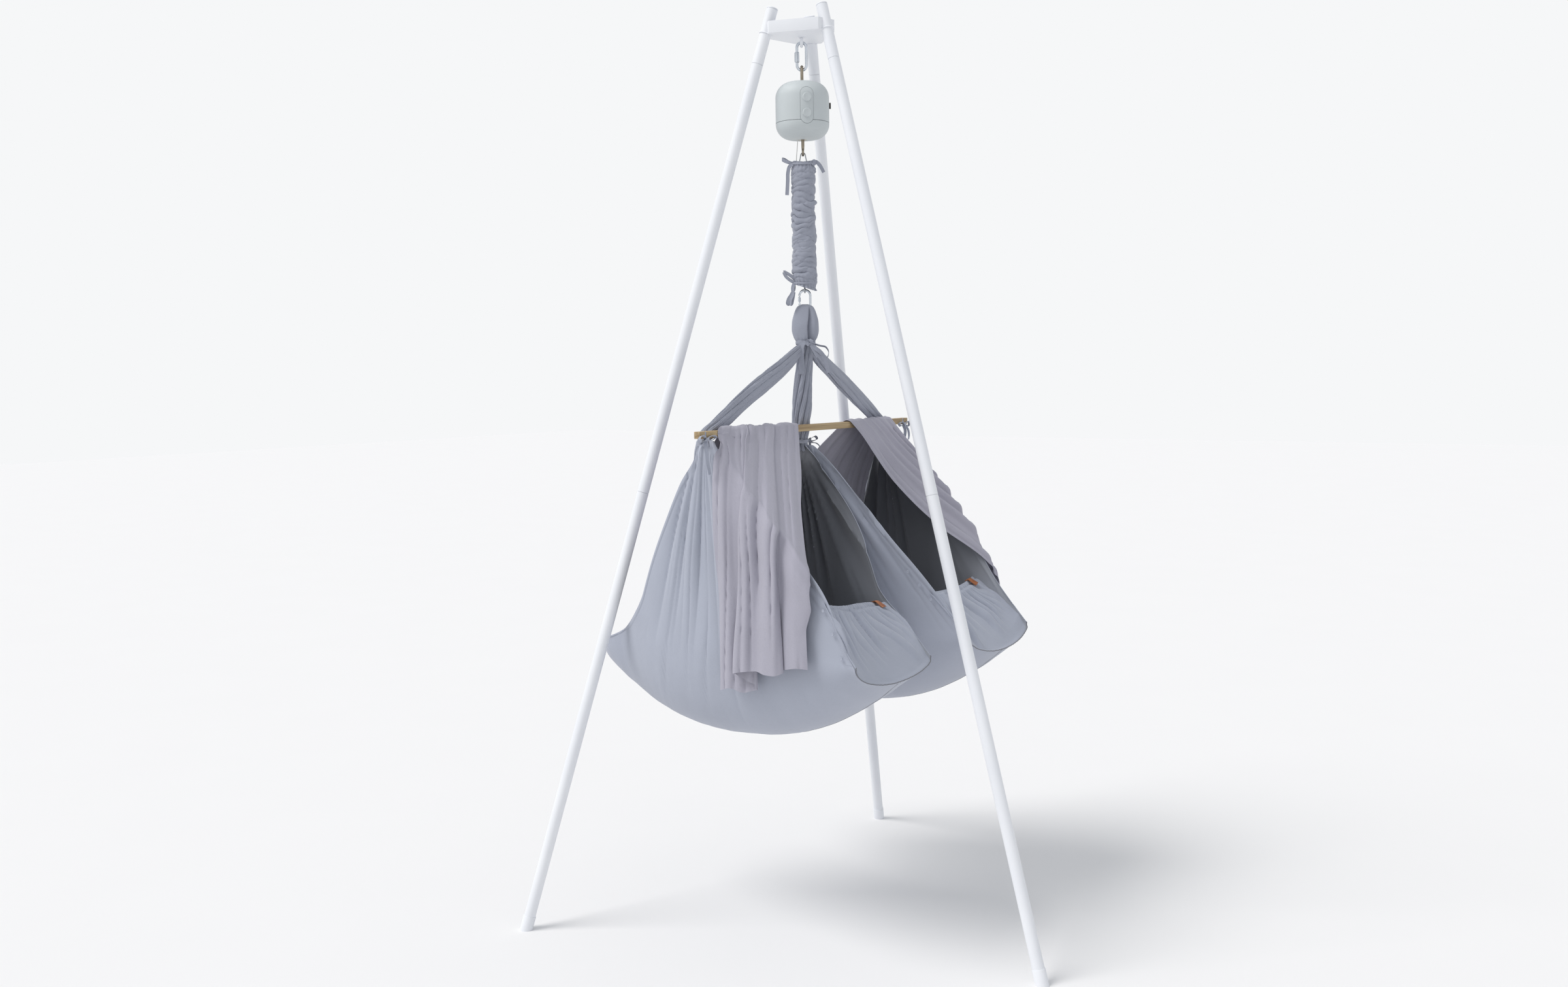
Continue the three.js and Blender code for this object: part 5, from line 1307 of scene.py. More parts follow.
def cradle_body(which):
    sections = [section(which, t) for t in STATIONS]

    def amount(i, j):
        point, edge, height, hem = sections[i][j]
        x = point.x - PLUMB.x
        keel = station(which, STATIONS[i])[0]
        ripple = 0.8 * MM * wobble(x * 42, height * 5, 4) + 1.6 * MM * wobble(x * 12, height * 9, 5)
        bottom = 1 - smooth((height - keel) / 0.16)
        near_gather = 1 - smooth((height - GATHER_TOP + 0.03) / 0.05) * 0.5
        fold = fan(which, edge, x, height) * (1 - bottom) ** 0.6 * near_gather
        return -SIDES[which] * (fold + ripple * (0.35 + 0.65 * bottom) + hem * HEM_PROUD)

    rows = pushed([[spot[0] for spot in line] for line in sections], amount)
    # The inner faces take the darker inside material, whose colour is painted shade.
    piece = cloth(f"{which}_hammock", [row[::-SIDES[which]] for row in rows], shaded_inside=SHADED_INSIDE)
    dress(piece, HULL, "cradles", "cradle_cotton", f"{which}_cradle_body")
    return rows


hull_rows = {which: cradle_body(which) for which in SIDES}
print("hammocks:", {which: (len(rows), len(rows[0])) for which, rows in hull_rows.items()})

# %% [markdown]
# The foot pocket is a second sheet, sewn in from one side to the other. An elastic gathers its
# upper edge, so its pleats are close and deep there. They slant towards the outer corner and run
# out. A leather tag is folded over the elastic.

# %% Foot pockets and tags
ELASTIC = {
    "near": {"outer": (0.8, 0.51), "middle": (0.71, 0.47), "inner": (0.66, 0.44)},
    "far": {"outer": (0.6, 0.45), "middle": (0.68, 0.44), "inner": (0.77, 0.46)},
}
POCKET_END, POCKET_CROWN, POCKET_GAP, UNDER_RIM = 0.998, 17 * MM, 1.2 * MM, 5 * MM
POCKET_ROWS, POCKET_COLUMNS, POCKET_SEED = 96, 220, {"near": 40, "far": 47}
PLEAT_LONG, PLEAT_CLOSE, ELASTIC_PINCH = 11 * MM, 4.2 * MM, 2.6 * MM
TAG_FROM, TAG_TO, TAG_DOWNS, TAG_STEPS = 0.61, 0.745, (0.0, 0.02, 0.05, 0.09, 0.125), 8
TAG_LIFT, TAG_SLOPE, TAG_BEHIND, TAG_THICKNESS = 5.2 * MM, 0.9 * MM, 3.5 * MM, 1.6 * MM


def pocket_point(which, down, across):
    """A point of a pocket: down from its elastic to its seam, and across from -1 to 1."""
    edge, reach = ("outer" if across > 0 else "inner"), abs(across)
    line = ELASTIC[which]
    t0, z0 = (mix(line["middle"][k], line[edge][k], reach ** 1.6) for k in (0, 1))
    t = mix(t0, POCKET_END, down)
    _, rim, low, _ = station(which, t)
    under_rim = rim[edge] - UNDER_RIM
    seam = bottom_height(which, t, edge, reach * math.pi / 2) + 0.6 * MM
    crown = POCKET_CROWN * math.sin(math.pi * down) ** 1.4 * (1 - across ** 4)
    height = mix(height_of(z0), seam, down) + crown
    height = mix(height, min(height, under_rim), reach ** 6)
    beside = min(mix(height_of(line[edge][1]), low[edge], down), under_rim)
    wall = reach_of_side(which, t, edge, beside) - mix(POCKET_GAP, 0.5 * MM, down)
    out = wall * mix(reach, math.sin(reach * math.pi / 2), down)
    return cradle_point(which, t, math.copysign(out, across), height)


def pocket_fold(which, down, across):
    """Long pleats and close ones under the elastic, and the frill above it."""
    seed, side = POCKET_SEED[which], SIDES[which]
    phase = 7.5 * (across - side * 0.42 * down) + 1.3 * wobble(across * 2.6, down * 1.2, seed)
    own = math.floor(phase)
    depth = max(0.15, 0.62 + 1.1 * wobble(own * 1.9, 0.2, seed + 1))
    length = 0.85 + 0.5 * wobble(own * 2.7, 0.5, seed + 2)
    long = ridge(phase, 0.62) * depth * (1 - smooth((down - length + 0.45) / 0.4))
    long *= PLEAT_LONG * smooth(down / 0.1)
    line = across * 21 - side * 5 * down + 1.6 * wobble(across * 5, down * 3, seed + 3)
    depth = max(0.2, 0.6 + 0.9 * wobble(across * 9, 0.4, seed + 5))
    close = (ridge(line, 0.62) - 0.5) * PLEAT_CLOSE * depth * (1 - smooth((down - 0.06) / 0.2))
    pinch = -ELASTIC_PINCH * math.exp(-((down - 0.055) / 0.018) ** 2)
    under_tag = 0.85 * math.exp(-((across - side * 0.67) / 0.09) ** 2 - (down / 0.14) ** 2)
    soft = 1.4 * MM * wobble(across * 5 + down * 2, down * 5, seed + 4)
    fold = (long + close) * (1 - under_tag) + pinch + soft - 2 * MM
    return fold * smooth((1 - abs(across)) / 0.08) * smooth((1 - down) / 0.07)


def foot_pocket(which):
    downs = [0, 0.01] + [0.02 + 0.98 * (k / POCKET_ROWS) for k in range(POCKET_ROWS + 1)]
    shares = [k / (POCKET_COLUMNS / 2) - 1 for k in range(POCKET_COLUMNS + 1)]
    rows = [[pocket_point(which, down, across) for across in shares] for down in downs]
    rows = pushed(rows, lambda i, j: -SIDES[which] * pocket_fold(which, downs[i], shares[j]))
    return cloth(f"{which}_pocket_cloth", rows)


def pocket_tag(which):
    up, ends = -SIDES[which], sorted((SIDES[which] * TAG_FROM, SIDES[which] * TAG_TO))
    shares = [mix(*ends, k / TAG_STEPS) for k in range(TAG_STEPS + 1)]
    face = [[pocket_point(which, down, across) for across in shares] for down in TAG_DOWNS]

    def lift(i, j):
        return up * (TAG_LIFT * (0.8 + 0.2 * math.sin(math.pi * j / TAG_STEPS)) + i * TAG_SLOPE)

    rows, normals = pushed(face, lift), grid_normals(face)[0]
    back = [point - normals[j] * up * TAG_BEHIND + (point - face[2][j]) * 0.3
            for j, point in enumerate(face[0])]
    piece = cloth(f"{which}_tag_leather", [back, *rows], TAG_THICKNESS, degrees=40)
    return shade(bevel(piece, 0.4 * MM, 2, 50))


for which in SIDES:
    dress(foot_pocket(which), HULL, "cradles", "cradle_cotton", f"{which}_foot_pocket")
    dress(pocket_tag(which), LEATHER, "cradles", "tan_leather", f"{which}_pocket_tag")
print("pockets and tags made")

# %% [markdown]
# Seams. A dark piping follows the foot's edge, a seam runs back along the keel, and three flat
# studs stand under the rim beside the foot, on the side that faces the camera.

# %% Seams and studs
PIPING, PIPING_OUT, PIPING_WAVE = 1.1 * MM, 0.8 * MM, 0.7 * MM
SEAM_RADIUS, SEAM_DOWN, SEAM_FROM = 0.8 * MM, 0.5 * MM, 0.12
STUD_RADIUS, STUD_RIM, STUD_UNDER_RIM, STUD_PROUD = 3.2 * MM, 1.7 * MM, 27 * MM, 0.4 * MM
STUD_PLACES = {"near": ("outer", (0.80, 0.86, 0.915)), "far": ("inner", (0.64, 0.71, 0.78))}


def piping(which):
    edge = hull_rows[which][-1]
    points = curve_through([point + Vector((PIPING_OUT, 0, 0)) for point in edge[::2]], 200)
    waved = [p + UP * (PIPING_WAVE * wobble(k * 0.35, 0, 61)) for k, p in enumerate(points)]
    return wire(f"{which}_foot_piping", waved, PIPING, sides=3)


def keel_seam(which):
    middle = len(hull_rows[which][0]) // 2
    keel = [row[middle] for row in hull_rows[which]]
    lowered = [p - UP * SEAM_DOWN for p in keel if p.x - PLUMB.x > SEAM_FROM]
    return wire(f"{which}_keel_seam", curve_through(lowered[::3], 90), SEAM_RADIUS, sides=2)


def studs(which):
    edge, places = STUD_PLACES[which]
    sign, made = EDGES[edge], []
    for k, t in enumerate(places):
        height = station(which, t)[1][edge] - STUD_UNDER_RIM
        out = sign * (reach_of_side(which, t, edge, height) + STUD_PROUD)
        way = Vector((0.05, SIDES[which] * sign, 0)).normalized()
        made.append(turned(f"{which}_stud_{k}", [
            (0, 0), (STUD_RADIUS, 0), (STUD_RADIUS, 0.9 * MM), (2.6 * MM, STUD_RIM),
            (1.4 * MM, 1.3 * MM), (0, 1.3 * MM),
        ], 24, place=Matrix.Translation(cradle_point(which, t, out, height)) @ facing(way)))
    return joined(*made)


for which in SIDES:
    for make, material in ((piping, THREAD), (keel_seam, THREAD), (studs, HULL)):
        dress(make(which), material, "cradles", "cradle_cotton")
print("seams and studs made")

# %% [markdown]
# The canopies are thin muslin. Each starts inside the head of its cradle, goes up over the bar, out
# over the rim and hangs down outside. A fold doubles back on itself, so the cloth's width is given
# as a line of listed points (share across, depth in mm), which may turn back: at the bar,
# half-way and at the hem. The lift, in mm too, shapes the hem's own edge.

# %% The canopies
BAR_X, BAR_SIDE, BAR_HEIGHT, BAR_HALF = 12 * MM, 14.5 * MM, 1.083, 0.400
MUSLIN_THICKNESS, CANOPY_HANG, HEM_LOW, HEM_HIGH, HEM_SLANT = 0.7 * MM, 12 * MM, 0.561, 0.642, 0.03
ROOF, ROOF_UNDER_RIM, ROOF_UNDER_INNER = (-0.34, -0.2, -0.1), 28 * MM, 10 * MM
ROOF_INSIDE, ROOF_INSIDE_INNER, BEND = 6 * MM, 8 * MM, 9 * MM
STRETCHES = (10, 8, 8, 3, 6, 3, 14, 14, 14, 4, 5, 6, 16, 26)
BAR_ROW, COLUMNS, FOLD_STEPS, SPAN, LIFT_SPREAD = 33, 40, 12, 220, 99
CANOPY = {
    "near": {"back": 0.9, "front": 1.0, "to": 0.19, "rim": (0.115, 0.737), "sag": 6 * MM},
    "far": {"back": 0.97, "front": 0.94, "to": 0.42, "rim": (0.21, 0.76), "sag": 42 * MM},
}
FOLDS = {
    "near": {
        "seed": 71, "fall": 1, "deep": 1.35,
        "bar": [(0, 1), (.09, 5), (.18, 0), (.30, 6), (.36, 5), (.33, 3), (.34, 8), (.42, 4),
                (.50, 1), (.60, 7), (.68, 5), (.66, 2), (.70, 1), (.85, 5), (1, 1)],
        "middle": [(0, 3), (.11, 11), (.22, 2), (.36, 0), (.40, 2), (.30, 6), (.29, 13), (.38, 16),
                   (.48, 6), (.58, 17), (.68, 13), (.67, 4), (.70, 2), (.86, 9), (1, 3)],
        "hem": [(0, 4), (.12, 11), (.30, 3), (.43, 0), (.41, 4), (.22, 9), (.21, 17), (.33, 21),
                (.45, 13), (.55, 20), (.67, 18), (.72, 8), (.66, 3), (.84, 10), (1, 3)],
        "lift": [0, 0, -19, -20, -8, 24, 27, 24, 18, 6, -2, 0, 8, 2, -8],
    },
    "far": {
        "seed": 75, "fall": 0, "deep": 1.3,
        "bar": [(0, 1), (.08, 5), (.15, 0), (.23, 5), (.30, 0), (.38, 6), (.45, 1), (.53, 5),
                (.60, 0), (.70, 5), (.78, 0), (.90, 3), (1, 1)],
        "middle": [(0, 2), (.07, 9), (.15, 0), (.22, 10), (.31, 1), (.37, 12), (.46, 1), (.53, 9),
                   (.62, 0), (.69, 9), (.79, 1), (.90, 5), (1, 2)],
        "hem": [(0, 2), (.07, 12), (.15, 0), (.21, 12), (.31, 0), (.37, 14), (.46, 1), (.52, 12),
                (.62, 0), (.70, 12), (.80, 2), (.90, 8), (1, 2)],
        "lift": [0, 2, -3, 2, -2, 4, -3, 2, 0, 3, -4, 2, -6],
    },
}


def canopy_line(which, share):
    """One line of the canopy from the hem inside, over the bar and the rim, to the hem outside."""
    side, plan = SIDES[which], CANOPY[which]
    points = []
    for t in ROOF:
        rim = station(which, t)[1]
        height = mix(rim["outer"] - ROOF_UNDER_RIM, rim["inner"] - ROOF_UNDER_INNER, share)
        outer = reach_of_side(which, t, "outer", height) - ROOF_INSIDE
        inner = ROOF_INSIDE_INNER - reach_of_side(which, t, "inner", height)
        spread = min(1, abs(t / ROOF[0]) + 0.25 + 0.5 * (1 - share))
        at_bar = GATHER_OUT * mix(plan["back"], plan["to"], share) - CRADLE_OUT
        out = mix(at_bar, mix(outer, inner, share), spread)
        points.append(cradle_point(which, t, out, height))
    top, half = BAR_HEIGHT + BAR_SIDE / 2 + 1.2 * MM, BAR_SIDE / 2 + 1.6 * MM
    back, front = (hung(BAR_X + way * half, side * GATHER_OUT * mix(start, plan["to"], share), top)
                   for way, start in ((-1, plan["back"]), (1, plan["front"])))
    points += [back + (points[-1] - back).normalized() * BEND, back, front]
    t = mix(*plan["rim"], share)
    rim = station(which, t)[1]["outer"]
    out = reach_of_side(which, t, "outer", rim)
    fold = cradle_point(which, t, out + 2 * MM, rim + 7 * MM)
    way = (fold - front).normalized()
    points.append(front + way * BEND)
    for part, sag in ((0.3, 0.9), (0.6, 0.8)):
        points.append(front.lerp(fold, part) - UP * (plan["sag"] * sag * share ** 1.5))
    points += [fold - way * 2 * BEND, fold, cradle_point(which, t, out + 8 * MM, rim - 6 * MM)]
    hem = mix(HEM_LOW, HEM_HIGH, share)
    for fall in (0.1, 0.4, 1):
        height = mix(rim + 5 * MM, hem, fall)
        out = reach_of_side(which, t, "outer", max(height, GUNWALE)) + CANOPY_HANG
        points.append(cradle_point(which, t + HEM_SLANT * fall, out, height))
    return smooth_line(points, STRETCHES)


def along_profile(profile):
    """Even steps along a line of (share, depth) points, with the corners rounded."""
    points = [Vector((share * SPAN, depth, k)) for k, (share, depth) in enumerate(profile)]
    return smooth_line(points, [FOLD_STEPS] * (len(points) - 1))


def crease_depth(share, i, seed):
    """Sharp creases that run down the cloth between the broad folds."""
    line = 11 * share + 0.9 * wobble(share * 2.5, i * 0.018, seed + 3)
    shown = smooth(0.45 + 2.2 * wobble(math.floor(line + 0.5) * 1.7, i * 0.022, seed + 4))
    return 6.5 * (1 - ridge(line, 0.5)) * shown


def column_at(x):
    return min(COLUMNS, max(0, x / SPAN * COLUMNS))


def canopy_rows(which):
    """The canopy's smooth grid with its folds, worked out in mm across and out from it."""
    plan = FOLDS[which]
    seed = plan["seed"]
    lines = [canopy_line(which, k / COLUMNS) for k in range(COLUMNS + 1)]
    base = [list(row) for row in zip(*lines)]
    normals = grid_normals(base)
    out = 1 if normals[-5][COLUMNS // 2].y * SIDES[which] > 0 else -1
    flat = Vector((0.3, SIDES[which], 0.12)).normalized()
    profiles = [along_profile(plan[name]) for name in ("bar", "middle", "hem")]
    # Only the depths of the lifts are used: their shares set how round the corners turn out.
    lifts = along_profile([(k / LIFT_SPREAD, lift) for k, lift in enumerate(plan["lift"])])
    rows = []
    for i, row in enumerate(base):
        past = i - BAR_ROW
        roof = smooth(-past / BAR_ROW)
        line = []
        for k, (bar, middle, hem) in enumerate(zip(*profiles)):
            even = k / (len(lifts) - 1)
            spot = Vector((mix(bar.x, SPAN * even, roof), mix(bar.y, bar.y * 1.6, roof)))
            fall = 0
            # How far down a spot is depends on where the fold takes it, so three rounds settle it.
            for _ in range(3 if past > 0 else 0):
                at = round(column_at(spot.x))
                fall = (BAR_HEIGHT - row[at].z) / (BAR_HEIGHT - base[-1][at].z)
                upper, lower = smooth(fall * 2) ** 0.8, smooth(fall * 2 - 1)
                spot = bar.lerp(middle, upper).lerp(hem, lower).xy
            edge = math.exp(-min(spot.x, SPAN - spot.x) / 30) * math.copysign(1, SPAN / 2 - spot.x)
            wave = smooth(0.45 + 1.2 * wobble(i * 0.035, edge, seed + 5)) * smooth((past - 8) / 30)
            spot.x += 13 * wave * edge
            at = column_at(spot.x)
            j = min(COLUMNS - 1, int(at))
            point = row[j].lerp(row[j + 1], at - j)
            normal = normals[i][j].lerp(normals[i][j + 1], at - j) * out
            normal = normal.lerp(flat, plan["fall"] * smooth(past / 16)).normalized()
            soft = 2.2 * wobble(k * 0.045, i * 0.05, seed) \
                + 0.7 * wobble(k * 0.2, i * 0.12, seed + 1) - crease_depth(spot.x / SPAN, i, seed)
            depth = spot.y * plan["deep"] * (1 - 0.6 * math.exp(-(past / 9) ** 2)) + soft
            down = smooth((fall - 0.5) / 0.5) ** 2 * lifts[k].y * MM
            depth = max(-3.5 if past > 12 else 0, depth) * MM
            line.append(point + normal * depth + UP * down)
        rows.append(line)
    return rows


def canopy(which):
    """A narrow first and last row, so that the hems stay square, and then the sheet."""
    rows = canopy_rows(which)
    for edge, inner, place in ((0, 1, 1), (-1, -2, -1)):
        rows.insert(place, [e.lerp(n, min(0.9, MM / max((n - e).length, MM)))
                            for e, n in zip(rows[edge], rows[inner])])
    piece = cloth(f"{which}_canopy_muslin", rows, MUSLIN_THICKNESS)
    dress(piece, MUSLIN, "cradles", "canopy_muslin", f"{which}_canopy")


for which in SIDES:
    canopy(which)

# %% [markdown]
# The spring's cover is a long sleeve pushed together on a short length, so it lies in irregular
# rings. Noise shifts each ring as it goes round, so the rings run into each other in sharp creases.

# %% The spring's cover
COVER_BOTTOM, COVER_RADIUS, COVER_MOUTH, BAND_IN = 1.394, 28.5 * MM, 14 * MM, 6 * MM
GATHERS_LONG, GATHERS_ROUND, FRILLS_ROUND = 40 * MM, 19, 11
COVER_RINGS, RING_DEPTH, CROSS_DEPTH, COVER_ROWS, COVER_COLUMNS = 23, 5.4 * MM, 3.0 * MM, 280, 132


def cover_radius(turn, share):
    """How far out the cover stands: its rings, the creases across them, and its two mouths."""
    c, s, way_round = math.cos(turn), math.sin(turn), turn / math.tau
    phase = COVER_RINGS * share + 0.45 * math.cos(turn - 0.6) \
        + 0.9 * wobble(c * 0.7 + share * 4, s * 0.7, 21) \
        + 0.5 * wobble(c * 1.5, s * 1.5 + share * 9, 22)
    own = math.floor(phase)
    depth = 0.8 + 1.4 * wobble(c * 0.9 + own * 3.1, s * 0.9 + own * 1.7, 23)
    zone = mix(0.35, 1, smooth(0.7 + 1.9 * wobble(c * 0.6 + share * 7, s * 0.6, 36)))
    rings = ridge(phase, 0.5)
    body = COVER_RADIUS - MM - RING_DEPTH * zone * (1 - rings * min(1.3, max(0.4, depth)))
    body += 2.2 * MM * wobble(c * 1.2 + share * 9, s * 1.2, 24)
    for way, seed in ((2, 28), (-3, 29)):
        cross = 11 * share + way * way_round + 0.7 * wobble(c * 1.2, s * 1.2 + share * 6, seed)
        shown = smooth(0.4 + 2.6 * wobble(c * 1.2 + share * 8, s * 1.2, seed + 3))
        body -= CROSS_DEPTH * (1 - ridge(cross, 0.45)) * shown
    body += 0.6 * MM * ridge(15 * way_round + 2.2 * wobble(share * 24, c * 2, 25)) * (1 - rings)
    ends = min(share, 1 - share) * (COVER_TOP - COVER_BOTTOM)
    gathers = 1.3 * MM * math.sin(GATHERS_ROUND * turn + 3 * wobble(c * 2, s * 2, 26))
    gathers *= 1 - smooth(ends / GATHERS_LONG)
    frill = (1.5 + 1.6 * math.sin(FRILLS_ROUND * turn + 2 * wobble(c, s, 27))) * MM
    frill *= 1 - smooth(ends / BAND_IN)
    drawn = smooth((ends - BAND_IN) / COVER_MOUTH)
    return mix(COVER_RADIUS * 0.8 + gathers, body + gathers * 0.6, drawn) + frill


def cover_point(share, turn):
    """A point of the cover, whose lower mouth slants and whose upper mouth waves a little."""
    low = COVER_BOTTOM + (-3 - 8 * math.cos(turn - math.radians(10))) * MM
    high = COVER_TOP + 1.5 * MM * math.sin(3 * turn) - 2 * MM
    radius = cover_radius(turn, share)
    return in_link_plane(radius * math.cos(turn), mix(high, low, share), radius * math.sin(turn))


cover = tube_cloth("ruched_spring_cover", COVER_ROWS, COVER_COLUMNS, cover_point, TAPE_THICKNESS)
cover.data.materials.append(SLING)
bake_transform(cover)
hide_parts("spring_cover")
print("cover from", COVER_TOP, "to", COVER_BOTTOM)

# %% [markdown]
# A drawstring closes each mouth: a tape round the neck, a loop that sticks out, and loose tails.
# Each tape's route is a list of (out, rise, across) in mm, in the link's plane from one height,
# followed by its width, the way that its width points, and its twist in degrees.

# %% Drawstrings
UPPER_BAND, LOWER_BAND, BAND_WIDTH = 25.6 * MM, 25.2 * MM, 4 * MM
BAND_WAVE, BAND_STEPS = 0.6 * MM, 24
UPPER_TAPES = [
    ("loop", [(-22, 2, 8), (-32, 5, 8), (-41, 9, 5), (-46, 13, 1), (-41, 13, -4), (-33, 8, -5),
              (-23, 4, -4)], 7, UP, 0),
    ("long_tail", [(-21, 1, 12), (-29, -4, 13), (-33, -16, 13), (-34, -34, 14), (-35, -52, 14),
                   (-36, -66, 13)], 8, IN_LINK, 12),
    ("short_tail", [(19, 3, 12), (27, 5, 12), (35, -1, 12), (41, -10, 11), (45, -18, 10)], 8,
     IN_LINK, 35),
    ("knot", [(20, 4, 16), (24, 7, 15), (27, 3, 14), (23, -1, 16), (20, 3, 17)], 6, UP, 0),
]
LOWER_TAPES = [
    ("frill", [(-21, 12, 9), (-30, 19, 11), (-39, 25, 10), (-45, 28, 8), (-42, 20, 6), (-33, 11, 7),
               (-23, 5, 9)], 8, UP + ACROSS_LINK * 0.5, 0),
    ("tail", [(-23, 3, 10), (-26, -6, 13), (-26, -20, 14), (-31, -33, 14), (-32, -46, 12)], 8,
     IN_LINK, 60),
    ("loop", [(-24, 2, 8), (-24, -10, 11), (-30, -22, 12), (-37, -33, 11), (-38, -42, 9),
              (-31, -43, 8), (-27, -32, 8), (-24, -16, 7)], 7, IN_LINK, 20),
]


def band(name, radius, height, width, turns=1.0, wave=BAND_WAVE):
    """A tape wound round the plumb line, waving a little up and down, in and out."""
    route = []
    for k in range(int(BAND_STEPS * turns) + 1):
        turn = math.tau * k / BAND_STEPS + 0.6
        out = radius + wave * math.sin(5 * turn)
        route.append(in_link_plane(out * math.cos(turn), height + wave * math.sin(3 * turn),
                                   out * math.sin(turn)))
    return ribbon(name, route, width, UP, count=120)


def tapes(place, plans):
    """Loose tapes, each planned as a name, points, a width, a way across and a twist."""
    return [ribbon(name, [place(Vector(point) * MM) for point in points], width * MM, across, twist)
            for name, points, width, across, twist in plans]


def link_tapes(height, plans):
    return tapes(lambda at: in_link_plane(at.x, height + at.y, at.z), plans)


upper_height, lower_height = COVER_TOP - 8 * MM, COVER_BOTTOM + 3 * MM
upper = joined(band("upper_drawstring_tape", UPPER_BAND, upper_height + MM, BAND_WIDTH),
               *link_tapes(upper_height, UPPER_TAPES))
dress(upper, SLING, "lift", "sling_cotton", "upper_drawstring")
lower = joined(band("lower_drawstring_tape", LOWER_BAND, lower_height + 3 * MM, BAND_WIDTH),
               *link_tapes(lower_height, LOWER_TAPES))
dress(lower, SLING, "carabiner", "sling_cotton", "lower_drawstring")
print("drawstrings made")

# %% [markdown]
# The sling. Its loop lies over the carabiner in two lobes with a deep crease between them. Below
# the knot the same cloth parts into two straps, out to the bar's ends, and a bundle down the
# middle. Each is cloth bunched into a rope: its half width and half depth are given in mm along it.

# %% The sling
LOOP_TOP, KNOT, KNOT_HALF, TIE = 1.353, 1.266, 18.5 * MM, 10 * MM
INNER_GATHER = height_of(0.959)
BUNDLE_BEHIND, BUNDLE_LOW, GATHER_BEHIND = -16.55 * MM, 14 * MM, 17.5 * MM
LOOP_WIDE = [(0, 6), (0.02, 12), (0.06, 17.5), (0.13, 21.5), (0.25, 25.5), (0.42, 29), (0.62, 30),
             (0.8, 26.5), (0.92, 21), (1, 18)]
LOOP_DEEP = [(0, 3), (0.03, 6), (0.1, 10), (0.3, 16), (0.55, 20), (0.8, 19), (0.92, 17), (1, 16)]
FRONT_CREASE, BACK_CREASE = [(0, 52), (0.3, 63), (0.6, 71), (1, 64)], 252
STRAP_ROUTE = [(0, 0.03), (-0.1, 0.2), (-0.5, 0.6), (-0.8, 0.9), (-1, 0.99), (-1, 1)]
STRAP_WIDE = [(0, 11), (0.15, 18), (0.45, 22), (0.8, 19), (0.93, 15), (1, 7)]
STRAP_DEEP = [(0, 8), (0.4, 8), (0.8, 10), (0.95, 14), (1, 19)]
STRAP_SEED = {"near": 41, "far": 43}
BUNDLE_WIDE = [(0, 9), (0.05, 14), (0.1, 17), (0.22, 22), (0.42, 24), (0.78, 22), (1, 16)]
BUNDLE_DEEP = [(0, 24), (0.05, 18), (0.1, 15), (0.22, 19), (0.42, 21), (1, 15)]


def in_metres(table):
    return [(share, value * MM) for share, value in table]


def loop_point(share, turn):
    size = 1 + 0.03 * wobble(math.cos(turn) * 2 + share * 3, math.sin(turn) * 2, 31)
    front = (table_value(FRONT_CREASE, share), 0.12, 0.16 + 0.22 * share, 0.62)
    for place, sharp, soft, deep in (front, (BACK_CREASE, 0.2, 0.2, 0.25)):
        off = (turn - math.radians(place) + math.pi) % math.tau - math.pi
        size -= deep * math.exp(-(off / (sharp if off > 0 else soft)) ** 2) * smooth(share / 0.2)
    gathers = abs(math.sin(8 * turn + 2 * wobble(math.cos(turn), math.sin(turn), 33)))
    size -= 0.09 * (1 - gathers ** 0.7) * smooth((share - 0.72) / 0.25)
    top = LOOP_TOP + 1.5 * MM * abs(math.cos(turn)) * (1 - share)
    return in_link_plane(table_value(LOOP_WIDE, share) * MM * size * math.cos(turn),
                         mix(top, KNOT - MM, share),
                         table_value(LOOP_DEEP, share) * MM * size * math.sin(turn))


def sling_loop():
    """The loop's tube, with a face over each of its two mouths."""
    piece = tube_cloth("sling_loop_cloth", 110, 132, loop_point)
    with editing(piece):
        bpy.ops.mesh.region_to_loop()
        bpy.ops.mesh.edge_face_add()
    return piece


def strap(which):
    heights = [KNOT - 4 * MM, *(mix(KNOT, GATHER_TOP, share) for share in (0.2, 0.57, 0.87)),
               GATHER_TOP + 6 * MM, GATHER_TOP - 12 * MM]
    route = [hung(back * GATHER_BEHIND, SIDES[which] * GATHER_OUT * out, height)
             for (back, out), height in zip(STRAP_ROUTE, heights)]
    return bunch(f"{which}_strap_cloth", route, in_metres(STRAP_WIDE), in_metres(STRAP_DEEP), 7,
                 twist=70, seed=STRAP_SEED[which])


def centre_bundle():
    route = [hung(mix(BUNDLE_BEHIND, 0, max(0, share * 1.25 - 0.25)), 0,
                  mix(INNER_GATHER - BUNDLE_LOW, KNOT + MM, share))
             for share in (0, 0.15, 0.35, 0.6, 0.8, 1)]
    return bunch("centre_bundle_cloth", route, in_metres(BUNDLE_WIDE), in_metres(BUNDLE_DEEP), 9,
                 twist=110, seed=45)


dress(sling_loop(), SLING, "cradles", "sling_cotton", "sling_loop")
for which in SIDES:
    dress(strap(which), SLING, "cradles", "sling_cotton", f"{which}_strap")
dress(centre_bundle(), SLING, "cradles", "sling_cotton", "centre_bundle")
print("sling made")

# %% [markdown]
# Ties. Each is a tape wound round what it holds, with a knot, a bow and loose tails. The bar is a
# square oak stick with eased edges and a groove near each end for its tie.

